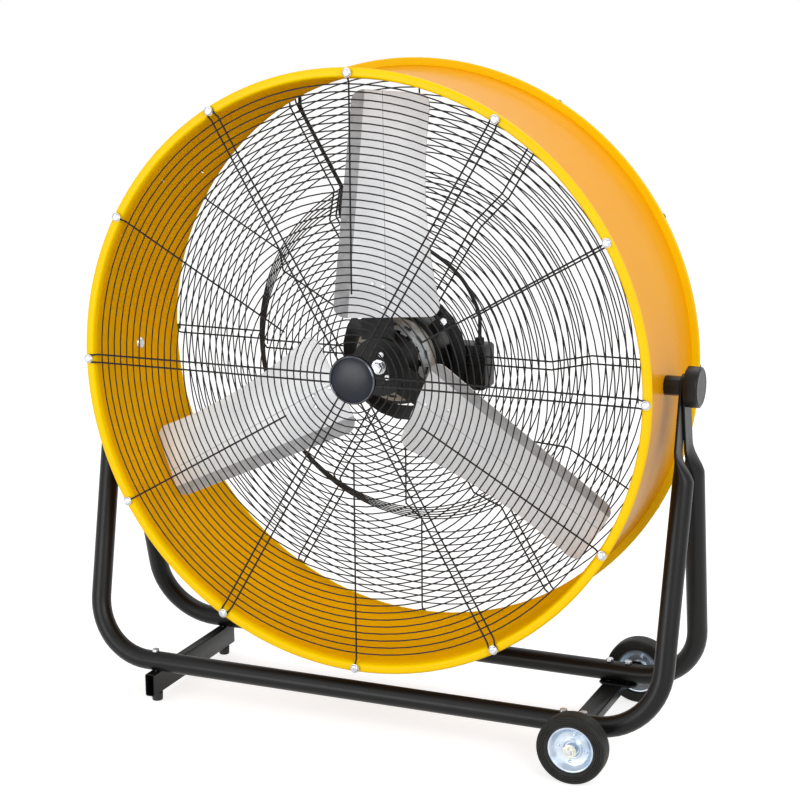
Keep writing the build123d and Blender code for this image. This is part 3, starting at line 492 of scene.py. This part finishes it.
def ribs(name, side, start, dive):
    """Ribs that start at a radius and follow (radius, depth) points; side 1 is the front."""
    def spot(radius, offset, depth):
        return (side * radius * MM, -side * depth * MM, PIVOT + offset * MM)

    first_depth = dive[0][1]
    leg = [(start, PAIR_OFFSET, first_depth)] + [(r, PAIR_OFFSET, depth) for r, depth in dive]
    leg.append((536.5, 6.9, LIP_DEPTH))
    turns = [radians(a) for a in range(0, 181, 20)]
    hairpin = [spot(r, -offset, depth) for r, offset, depth in leg]
    hairpin += [
        spot(LOOP_MIDDLE + LOOP_RADIUS * sin(a), -LOOP_RADIUS * cos(a), LIP_DEPTH) for a in turns
    ]
    hairpin += [spot(*corner) for corner in reversed(leg)]
    single = [(155, first_depth)] + dive + [(536.5, LIP_DEPTH), (540.6, LIP_DEPTH)]
    single = [spot(r, 0, depth) for r, depth in single]
    pairs = set_round("pairs", bent("hairpin", RIB, hairpin), 6)
    singles = set_round("singles", bent("single", RIB, single), 6, 30)
    return joined(name, [pairs, singles])


# %% Bend the front ribs
front_ribs = ribs("front_guard_ribs", 1, 25, [(FIELD_EDGE, RIB_DEPTH)])
settle(front_ribs, "drum", guard_black, "guard_black", "front_guard")

# %% [markdown]
# ## The rear guard
# The rear guard has the same flat field of wire near the rim. Nearer the middle its ribs dive
# forward on a cone to a flat plateau that carries the motor. The cone's wires are plain rings,
# turned as small round outlines, and both flats are spirals.

# %% Wind the rear guard
CONE_WIRES = 6
CONE_START, CONE_SPAN = (295.4, 79.4), (53, 78.7)  # in radius and depth
field = wound("field", FIELD_EDGE, 24, FIELD_DEPTH, -1)
plateau = wound("plateau", PLATEAU_EDGE, 23, PLATEAU_DEPTH, -1)
cone = []
for i in range(1, CONE_WIRES + 1):
    share = i / (CONE_WIRES + 1)
    middle = [start + span * share for start, span in zip(CONE_START, CONE_SPAN)]
    cone.append(spun(f"cone_{i}", arc(middle, WIRE, 0, 315, 7), 80, crease=60))
rear_spirals = joined("rear_guard_spirals", [field, plateau] + cone)
settle(rear_spirals, "drum", guard_black, "guard_black", "rear_guard")

# %% Bend the rear ribs
dive = [(292.9, RIB_PLATEAU), (345.9, RIB_DEPTH), (FIELD_EDGE, RIB_DEPTH)]
rear_ribs = ribs("rear_guard_ribs", -1, 106, dive)
settle(rear_ribs, "drum", guard_black, "guard_black", "rear_guard")

# %% [markdown]
# ## Guard screws
# Bright round-headed screws hold both guards. The head is turned with a thin flange and a
# small socket in its crown, modelled once and set round the lip twelve times on each side.

# %% Turn the guard screws
SCREW_CIRCLE, SCREW_SEAT = 0.544, 167.7
head = [(0, 2.8), (2.1, 2.8), (2.2, 4.3), (3.9, 4.5), (5.9, 3.9)]
head += [(7.1, 2.5), (7.5, 1.4), (8.4, 1.1), (8.4, 0.2), (8.2, 0), (0, 0)]
for name, side in (("front", -1), ("rear", 1)):
    outline = [(r, side * (SCREW_SEAT + height)) for r, height in head]
    screw = spun("screw", outline, 20, centre=(SCREW_CIRCLE, PIVOT), crease=40)
    screws = set_round(f"{name}_screw_heads", screw, 12)
    settle(screws, "drum", bright_zinc, "bright_zinc", f"{name}_guard_screws")

# %% [markdown]
# ## The centre cap
# A disc behind the ribs, a chrome ring and a dark domed cap in front of them close the middle
# of the front guard. The ring's chrome is darkened, a painted dark reflection. The cap stays plain.
# Its dome is shallow, so it shows one soft highlight.

# %% Turn the cap
CAP_RADIUS, CAP_DEPTH, CAP_RISE = 41.0, 163.6, 4.3
plate = [(0, -155.7), (44.6, -155.7), (45, -156.1), (45, -157.3), (44.6, -157.7), (0, -157.7)]
settle(spun("centre_disc", plate, 64), "drum", guard_black, "guard_black", "centre_plate")
rim = [(41.1, -161.9), (44.6, -161.9), (45, -162.6), (44.4, -163.8), (43, -165.2)]
rim += [(41.8, -165.9), (41.1, -165.3)]
settle(spun("cap_ring", rim, 72), "drum", cap_bright, "cap_bright", "cap_rim")
dome = []
for a in range(0, 61, 6):
    rise = CAP_RISE * (cos(radians(a)) - 0.5) / 0.5
    dome.append((CAP_RADIUS * sin(radians(a)) / sin(radians(60)), -CAP_DEPTH - rise))
cap = spun("cap_dome", dome + [(CAP_RADIUS, -161.9), (0, -161.9)], 72, crease=40)
settle(cap, "drum", cap_blue, "cap_blue", "centre_cap")

# %% [markdown]
# ## Softening the CAD parts
# Folded sheets, brackets, boxes and bolts already have their right shape in the CAD model, but
# their edges are knife sharp. A copy is merged, its flat triangles are dissolved into whole
# faces, and a narrow bevel rounds each real edge so that it catches the light. Solids that only
# touch, such as a nut on its washer, are merged one by one, so that each stays closed.

# %% A helper that merges each solid of a CAD part
def merge_solids(obj):
    """Merges the split corners of each solid; faces that alone share an edge are of one solid."""
    mesh = bmesh.from_edit_mesh(obj.data)
    beside = {}
    for face in mesh.faces:
        for edge in face.edges:
            ends = frozenset(tuple(round(c * 1e6) for c in v.co) for v in edge.verts)
            beside.setdefault(ends, []).append(face)
    solid = {face: [face] for face in mesh.faces}
    for pair in beside.values():
        if len(pair) == 2 and solid[pair[0]] is not solid[pair[1]]:
            small, large = sorted((solid[face] for face in pair), key=len)
            large += small
            for face in small:
                solid[face] = large
    for group in {id(faces): faces for faces in solid.values()}.values():
        corners = dict.fromkeys(v for face in group if face.is_valid for v in face.verts)
        bmesh.ops.remove_doubles(mesh, verts=list(corners), dist=MERGE)
    bmesh.update_edit_mesh(obj.data)


# %% A helper that softens a CAD part
def softened(node, width, segments=2, angle=25):
    """A copy of a CAD node with edges rounded, width in millimetres."""
    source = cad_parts[node]
    obj = source.copy()
    obj.data = source.data.copy()
    for key in list(obj.keys()):
        del obj[key]
    obj.parent = None
    obj.name = f"{node}_soft"
    bpy.context.scene.collection.objects.link(obj)
    alone(obj, "EDIT")
    merge_solids(obj)
    bpy.ops.mesh.select_all(action="SELECT")
    bpy.ops.mesh.dissolve_limited(angle_limit=radians(1))
    alone(obj)
    bevel = obj.modifiers.new("edges", "BEVEL")
    bevel.width = width * MM
    bevel.segments = segments
    bevel.limit_method = "ANGLE"
    bevel.angle_limit = radians(angle)
    bpy.ops.object.modifier_apply(modifier="edges")
    edit_all(obj)
    bpy.ops.mesh.dissolve_degenerate(threshold=2 * MERGE)
    alone(obj)
    bpy.ops.object.shade_smooth_by_angle(angle=radians(angle))
    return obj


def soften(node, body, material, slot, width, segments=2, angle=25):
    """Softens a CAD node's copy and settles it on its body."""
    return settle(softened(node, width, segments, angle), body, material, slot, node)


# %% [markdown]
# ## Blades, spider and hub
# Three folded sheet blades are riveted to a black three-armed spider on the motor's shaft. A scored
# line runs along each blade; it and the strip folded back from its edge get a darker finish,
# painted shade.

# %% A helper that scores a blade
SCORE = (-13.4, -14.8)  # the line's two edges, measured across the blade
FOLD_LEAN = (0.93, 0.968)  # how far the folded strip's faces look forward
FOLD_AREA = 1e-4  # the bevel's own faces are smaller than this


def creased(node, angle):
    """A softened blade whose folded strip and scored line get a darker finish: painted shade."""
    blade = softened(node, 0.5, angle=12)
    across = Vector((-sin(radians(angle)), 0, cos(radians(angle))))
    for shift in SCORE:
        edit_all(blade)
        bpy.ops.mesh.bisect(plane_co=MIDDLE + across * shift * MM, plane_no=across)
    alone(blade)
    settle(blade, "rotor", blade_metal, "blade_aluminium", node)
    # The folded strip and the scored line take the darker finish: painted shade.
    blade.data.materials.append(fold_painted_shade)
    for face in blade.data.polygons:
        shift = (face.center - MIDDLE).dot(across) / MM
        folded = FOLD_LEAN[0] < abs(face.normal.y) < FOLD_LEAN[1] and face.area > FOLD_AREA
        face.material_index = 1 if folded or SCORE[1] < shift < SCORE[0] else 0


# %% Soften the rotor
for i in (1, 2, 3):
    creased(f"blade_{i}", 120 * i - 30)
    soften(f"blade_rivets_{i}", "rotor", bright_zinc, "bright_zinc", 0.6)
soften("hub_spider", "rotor", motor_black, "motor_black", 0.8)
soften("hub_fasteners", "rotor", bright_zinc, "bright_zinc", 0.7)

# %% [markdown]
# ## The motor
# A cast end bell with two rows of cooling slots faces the blades, and a black round housing
# carries four ears. The bell is turned, then the slots are cut from it with a Boolean. Its nose
# takes the black finish as far as the inner row of slots: a painted shadow of the hub.

# %% Turn the bell
bell_face = [(8.3, -13), (24, -13), (27, -11.5), (29, -7), (34, 0), (40, 3.5), (57, 14.25)]
bell_face += [(74, 25), (78, 28), (80, 32), (80, 42), (8.3, 42)]
bell = spun("motor_bell", bell_face, 72, crease=28)

# %% Cut its slots
SLOT_ROWS = ((58, 13), (69, 16))  # radius and length of the slots in each row
SLOT_COUNT, SLOT_WIDTH, SLOT_DEPTH, SLOT_Y = 14, 0.005, 0.044, 0.017
# How far out the bell's painted shadow of the hub reaches.
NOSE_SHADOW_RADIUS = 0.0565
let_go()
cutters = []
for row, (middle, length) in enumerate(SLOT_ROWS):
    bpy.ops.mesh.primitive_cube_add(size=1, location=(middle * MM, SLOT_Y, PIVOT))
    bpy.ops.transform.resize(value=(SLOT_WIDTH, SLOT_DEPTH, length * MM))
    bpy.ops.object.transform_apply(location=True, rotation=True, scale=True)
    cutters.append(set_round(f"slots_{row}", bpy.context.object, SLOT_COUNT, 12.9 * row))
cutter = joined("slots", cutters)
alone(bell)
cut = bell.modifiers.new("slots", "BOOLEAN")
cut.operation = "DIFFERENCE"
cut.object = cutter
bpy.ops.object.modifier_apply(modifier="slots")
bpy.data.objects.remove(cutter)
settle(bell, "drum", motor_grey, "motor_grey", "motor_front_bell")
# The bell's nose, inside the inner row of slots, gets the black finish: a painted shadow of the
# hub.
bell.data.materials.append(motor_black)
for face in bell.data.polygons:
    spot = face.center - MIDDLE
    if sqrt(spot.x**2 + spot.z**2) < NOSE_SHADOW_RADIUS:
        face.material_index = 1

# %% Soften the rest of the motor
soften("motor_body", "drum", motor_black, "motor_black", 1.2, 2, 20)
soften("motor_ring_plate", "drum", guard_black, "guard_black", 0.6)
soften("motor_bolts", "drum", bright_zinc, "bright_zinc", 0.6)
soften("junction_box", "drum", motor_black, "motor_black", 1.5, 3)

# %% [markdown]
# ## The tube frame
# Two tubes bent into wide U shapes carry everything. Each is drawn flat, as the bender makes
# it: half of it is bent, its end is pressed flat for the pivot bolt, and a Mirror modifier
# makes the other half. Then the whole tube leans about the pivot by the same angle as in the
# CAD model, the front one forward and the rear one back.

# %% Draw half a tube
CORNER, TOP, DROP, BEND = 570.0, 580.0, 614.9, 116.0
TUBE_RADIUS = 19.0
FLAT_END, ROUND_START = 115.0, 170.0  # the tube turns from pressed to round between these
FLAT_HALF_WIDTH, FLAT_HALF_THICKNESS = 22.5, 2.2
TIP_WIDTH = 0.1  # keeps the very tip from closing to a line


def leg_x(down):
    """Distance of the leg's middle from the fan's middle, at a distance below the pivot."""
    return TOP + (CORNER - TOP) * down / DROP


def half_tube():
    """Corners from the rounded tip above the pivot down the leg and round the bend, in metres."""
    tilt = asin((TOP - CORNER) / sqrt(DROP**2 + (TOP - CORNER) ** 2))
    start = DROP - BEND * (1 - sin(tilt)) / cos(tilt)
    tip = [-FLAT_HALF_WIDTH * sin(radians(a)) for a in (88, 72, 54, 36, 18)]
    downs = tip + [0, 25, 60, 90, 115, 125, 135, 145, 155, 165, 175]
    path = [Vector((leg_x(down), 0, -down)) for down in downs]
    centre = Vector((leg_x(start) - BEND * cos(tilt), 0, BEND - DROP))
    for i in range(15):
        angle = -tilt - (radians(90) - tilt) * i / 14
        path.append(centre + Vector((BEND * cos(angle), 0, BEND * sin(angle))))
    path.append(Vector((0.0, 0, -DROP)))
    return [point * MM for point in path]


# %% Press, mirror and lean the tubes
def press_flat(obj, flat_middle):
    """Presses the tube's upper end flat, with its middle at a distance from the fan's middle."""
    for vertex in obj.data.vertices:
        x, y, down = vertex.co.x / MM, vertex.co.y / MM, -vertex.co.z / MM
        if down > ROUND_START:
            continue
        share = max(0, (down - FLAT_END) / (ROUND_START - FLAT_END))
        share = share * share * (3 - 2 * share)  # starts and ends softly
        half_width = FLAT_HALF_WIDTH
        if down <= 0:
            half_width = sqrt(max(TIP_WIDTH, FLAT_HALF_WIDTH**2 - down**2))
        thick = (x - leg_x(down)) * 3
        thick = max(-FLAT_HALF_THICKNESS, min(FLAT_HALF_THICKNESS, thick))
        pressed_x, pressed_y = flat_middle + thick, y / TUBE_RADIUS * half_width
        vertex.co.x = (pressed_x + (x - pressed_x) * share) * MM
        vertex.co.y = (pressed_y + (y - pressed_y) * share) * MM


def u_tube(name, flat_middle, lean):
    """One tube of the frame; lean is the angle from upright, in degrees."""
    obj = bent(name, TUBE_RADIUS, half_tube(), sides=24)
    press_flat(obj, flat_middle)
    alone(obj, "EDIT")
    mesh = bmesh.from_edit_mesh(obj.data)
    inner_cap = [f for f in mesh.faces if all(abs(v.co.x) < MERGE for v in f.verts)]
    bmesh.ops.delete(mesh, geom=inner_cap, context="FACES_ONLY")
    bmesh.update_edit_mesh(obj.data)
    alone(obj)
    mirror = obj.modifiers.new("other half", "MIRROR")
    mirror.use_clip = True
    bpy.ops.object.modifier_apply(modifier="other half")
    obj.data.transform(Matrix.Translation(MIDDLE) @ Matrix.Rotation(radians(lean), 4, "X"))
    return closed(obj, 40)


front_tube = u_tube("front_tube", 564.2, -13.06)
rear_tube = u_tube("rear_tube", 568.6, 13.06)
settle(front_tube, "frame", frame_black, "frame_black", "front_u_tube")
settle(rear_tube, "frame", frame_black, "frame_black", "rear_u_tube")

# %% [markdown]
# ## Crossbars, brackets and bolts
# Box sections, bent plates and hexagon bolts keep their CAD shape, with softened edges.

# %% Soften the frame's small parts
soften("left_crossbar", "frame", frame_black, "frame_black", 0.6)
soften("right_crossbar", "frame", frame_black, "frame_black", 0.6)
soften("front_wheel_bracket", "frame", frame_black, "frame_black", 0.8)
soften("rear_wheel_bracket", "frame", frame_black, "frame_black", 0.8)
soften("frame_bolts", "frame", bright_zinc, "bright_zinc", 0.7)
soften("axle_bolts", "frame", bright_zinc, "bright_zinc", 0.6)
soften("axle_nuts", "frame", yellow_zinc, "yellow_zinc", 0.6)
soften("rubber_feet", "frame", foot_rubber, "foot_rubber", 1.0)

# %% [markdown]
# ## Wheels
# Each wheel has a solid rubber tyre with four rings moulded in its sides, on a pressed and
# plated disc with a raised rim, a dished face, a hub tube and four rivets. The outlines are
# turned with all of that in them.

# %% Draw the outlines of one side
side_wall = [(42, 13.9), (43.2, 16.6), (45, 18.6)]
for ring in range(4):
    start = 45.6 + 3.7 * ring
    side_wall += [(start, 18.95), (start + 1.8, 18.95), (start + 2.3, 17.6), (start + 3.1, 17.6)]
side_wall += [(60.4, 17.8), (61.8, 16.6), (62.8, 14.4), (63.3, 11), (63.5, 5)]
disc_face = [(6.2, 18.4), (9.6, 18.4), (10.4, 17.8), (10.6, 5), (11, 3.6), (14, 3.4)]
disc_face += [(14.6, 7.6), (15.4, 8.6), (17, 8.8), (18.2, 8.2), (18.8, 4.2), (19.6, 3.4)]
disc_face += [(30.6, 3.4), (32, 4.2), (37.4, 11.8), (39, 13.6), (40.4, 14), (41.4, 14), (42, 13.6)]
rivet_dome = [(0, 6.6), (1.9, 6.2), (3.1, 5.0), (3.6, 3.2), (0, 3.2)]

# %% Turn the wheels
WHEEL_X, WHEEL_Y, WHEEL_R = 436.0, 208.0, 63.5
RIVET_CIRCLE, FIRST_RIVET = 0.0258, -8


def both_sides(outline):
    """Mirrors an outline's points to the wheel's other side."""
    return outline + [(r, -y) for r, y in reversed(outline)]


def wheel(name, side):
    """Turns a wheel; side is -1 for the front one and 1 for the rear one."""
    def shifted(outline, face=1):
        return [(r, face * y + side * WHEEL_Y) for r, y in outline]

    centre = (WHEEL_X * MM, WHEEL_R * MM)
    tyre = spun(f"{name}_tyre", shifted(both_sides(side_wall)), 72, centre, crease=30)
    settle(tyre, f"wheel_{name}", tyre_black, "tyre_black", f"{name}_wheel_tyre")
    pieces = [spun("disc", shifted(both_sides(disc_face)), 64, centre, crease=30)]
    for turn in range(4):
        a = radians(FIRST_RIVET + 90 * turn)
        spot = (centre[0] + RIVET_CIRCLE * cos(a), centre[1] + RIVET_CIRCLE * sin(a))
        pieces += [spun("rivet", shifted(rivet_dome, face), 12, spot) for face in (-1, 1)]
    disc = joined(f"{name}_disc", pieces)
    settle(disc, f"wheel_{name}", wheel_zinc, "bright_zinc", f"{name}_wheel_disc")


wheel("front", -1)
wheel("rear", 1)

# %% [markdown]
# ## Tilt knobs
# The tilt knobs are twelve-sided grips of moulded plastic with a broad, round, slightly domed
# face. The grip is an outline spun in only twelve steps, and the face one spun in many. Both
# are turned on the lathe's usual axis and then swung round to point out of the fan's side.

# %% Turn the knobs
KNOB_SEAT = 570.8
grip = [(0, 0), (35, 0), (36.8, 0.7), (37.4, 2.2), (37.4, 22.6), (36.9, 23.6), (35.6, 24.3)]
grip += [(0, 24.3)]
knob_face = [(0, 23.5), (33.6, 23.5), (33.6, 24.9), (33.2, 25.6), (32.2, 25.9), (30, 25.5)]
knob_face += [(20, 25.7), (0, 25.8)]
for side, name in ((1, "right"), (-1, "left")):
    parts = [spun("grip", grip, 12, (0.0, 0.0), 28), spun("face", knob_face, 48, (0.0, 0.0), 40)]
    knob = joined(f"{name}_knob", parts)
    seat = Matrix.Translation((side * KNOB_SEAT * MM, 0, PIVOT))
    knob.data.transform(seat @ Matrix.Rotation(-side * pi / 2, 4, "Z"))
    settle(knob, f"knob_{name}", black_plastic, "black_plastic", f"tilt_knob_{name}")

# %% [markdown]
# ## Spacers and the switch
# The switch box sits on a strip on the drum, with its dial on top.

# %% Soften the controls
soften("pivot_spacers", "drum", black_plastic, "black_plastic", 0.8)
soften("pivot_bolts", "drum", bright_zinc, "bright_zinc", 0.6)
soften("switch_box", "drum", black_plastic, "black_plastic", 1.0, 3)
soften("switch_box_screws", "drum", bright_zinc, "bright_zinc", 0.4)
soften("switch_dial", "dial", black_plastic, "black_plastic", 0.8, 3)

# %% [markdown]
# ## The motor's lead
# A round black lead runs from the junction box over the back of the guard to the switch box.
# It follows one smooth NURBS line: up from the junction box, out along a pair of ribs, over the
# lip beside the guard screw, and round the wall to the switch box.

# %% Plan the lead's way
def polar(radius, angle, forward):
    """A point at a radius and an angle about the drum's axis, as (right, up, forward)."""
    return (radius * cos(radians(angle)), radius * sin(radians(angle)), forward)


BOX_ANGLE = 18 * 360 / 46
LEAD_RADIUS = 3.7
route = [(140, 37, -112.2), (140, 60, -112.2), (140, 85, -112.2)]  # out of the junction box
route += [(112, 158, -90.3), (38, 208, -89.3), (-40, 238, -87), polar(268, 114, -86.8)]
route += [polar(288, 118.5, -86.8), polar(339, 118.7, -164), polar(346, 118.7, -166.4)]
route += [polar(430, 119, -165.4), polar(520, 119.2, -165.4), polar(533, 118.4, -170)]
route += [polar(544, 118.2, -169.6), polar(557, 118.2, -169)]  # over the lip
route += [polar(557.5, 118.4, -150), polar(540, 121, -132), polar(536.8, 128, -112)]
route += [polar(538.4, 135, -98), polar(552, 140, -80)]  # along the wall
route += [polar(560.1, BOX_ANGLE, -64), polar(560.1, BOX_ANGLE, -49)]

# %% Lay the lead
let_go()
curve = bpy.data.curves.new("motor_lead_run", "CURVE")
curve.dimensions = "3D"
curve.bevel_depth = LEAD_RADIUS * MM
curve.bevel_resolution = 3
curve.use_fill_caps = True
curve.resolution_u = 10
spline = curve.splines.new("NURBS")
spline.points.add(len(route) - 1)
for point, (right, up, forward) in zip(spline.points, route):
    point.co = (right * MM, -forward * MM, PIVOT + up * MM, 1)
spline.use_endpoint_u = True
spline.order_u = 3
lead = bpy.data.objects.new("motor_lead_run", curve)
bpy.context.scene.collection.objects.link(lead)
alone(lead)
bpy.ops.object.convert(target="MESH")
lead = closed(bpy.context.object, 50)
settle(lead, "drum", cord_black, "cord_black", "motor_lead")

# %% [markdown]
# ## What is left
# The motor's shaft is the last part of the CAD model that has no finish yet.

# %% Dress what is left
soften("motor_shaft", "rotor", bright_zinc, "bright_zinc", 0.5)
print("CAD nodes still showing", [n for n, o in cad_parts.items() if not o.hide_render])

# %% [markdown]
# ## Floor, light and camera
# A product portrait on white. The floor and the world are white for the camera and in
# reflections, while the light that falls on the fan comes from four large soft lamps and a
# plain world. The floor still takes the fan's shadow.

# %% Lay the floor
PAPER_GREY, PAPER_GLOW = 0.55, 0.72


def seen(tree):
    """1 for rays from the camera and rays through gloss or glass, 0 for the rest."""
    rays = tree.nodes.new("ShaderNodeLightPath").outputs
    total = maths(tree, "ADD", rays["Is Camera Ray"], rays["Is Glossy Ray"], clamp=True)
    return maths(tree, "ADD", total, rays["Is Transmission Ray"], clamp=True)


let_go()
bpy.ops.mesh.primitive_plane_add(size=30, location=(0, 0, -0.0005))
floor = bpy.context.object
floor.name = "floor"
paper = bpy.data.materials.new("paper")
paper.use_nodes = True
tree = paper.node_tree
tree.nodes.remove(tree.nodes["Principled BSDF"])
diffuse = tree.nodes.new("ShaderNodeBsdfDiffuse")
diffuse.inputs["Color"].default_value = (PAPER_GREY, PAPER_GREY, PAPER_GREY, 1)
glow = tree.nodes.new("ShaderNodeEmission")
tree.links.new(maths(tree, "MULTIPLY", seen(tree), PAPER_GLOW), glow.inputs["Strength"])
both = tree.nodes.new("ShaderNodeAddShader")
tree.links.new(diffuse.outputs["BSDF"], both.inputs[0])
tree.links.new(glow.outputs["Emission"], both.inputs[1])
tree.links.new(both.outputs["Shader"], tree.nodes["Material Output"].inputs["Surface"])
floor.data.materials.append(paper)

# %% Light the world
WORLD_LIGHT, WORLD_SEEN = 0.6, 1.0  # the world's strength on the fan, and where it is seen
world = bpy.data.worlds.new("studio")
bpy.context.scene.world = world
world.use_nodes = True
tree = world.node_tree
background = tree.nodes["Background"]
background.inputs["Color"].default_value = (1, 1, 1, 1)
tree.links.new(between(tree, seen(tree), WORLD_LIGHT, WORLD_SEEN), background.inputs["Strength"])


# %% Hang the lamps
def soft_lamp(name, place, size, power):
    """A square lamp of a size in metres, aimed at the drum's middle."""
    let_go()
    bpy.ops.object.light_add(type="AREA", location=place)
    lamp = bpy.context.object
    lamp.name = name
    lamp.data.size = size
    lamp.data.energy = power
    lamp.rotation_euler = (MIDDLE - Vector(place)).to_track_quat("-Z", "Y").to_euler()


soft_lamp("key", (-2.2, -3.6, 3.4), 2.4, 24)
soft_lamp("fill", (3.4, -3.0, 2.4), 2.6, 98)
soft_lamp("top", (0.6, 1.6, 3.8), 2.4, 35)
soft_lamp("low", (-1.2, -3.2, 0.25), 1.6, 50)

# %% Set the camera where the photographer stood
camera_data = bpy.data.cameras.new("camera")
camera_data.lens = 89.52
camera_data.sensor_width = 36
camera = bpy.data.objects.new("camera", camera_data)
bpy.context.scene.collection.objects.link(camera)
ahead = Vector((-0.38215, 0.89644, -0.22442)).normalized()
right = ahead.cross(Vector((-0.08071, 0.20955, 0.97446))).normalized()
up = right.cross(ahead)
turn = Matrix((right, up, -ahead)).transposed().to_4x4()
camera.matrix_world = Matrix.Translation((1.4406, -3.3239, 1.4417)) @ turn
bpy.context.scene.camera = camera
bpy.context.scene.view_settings.view_transform = "Standard"

# %% Finish
let_go()
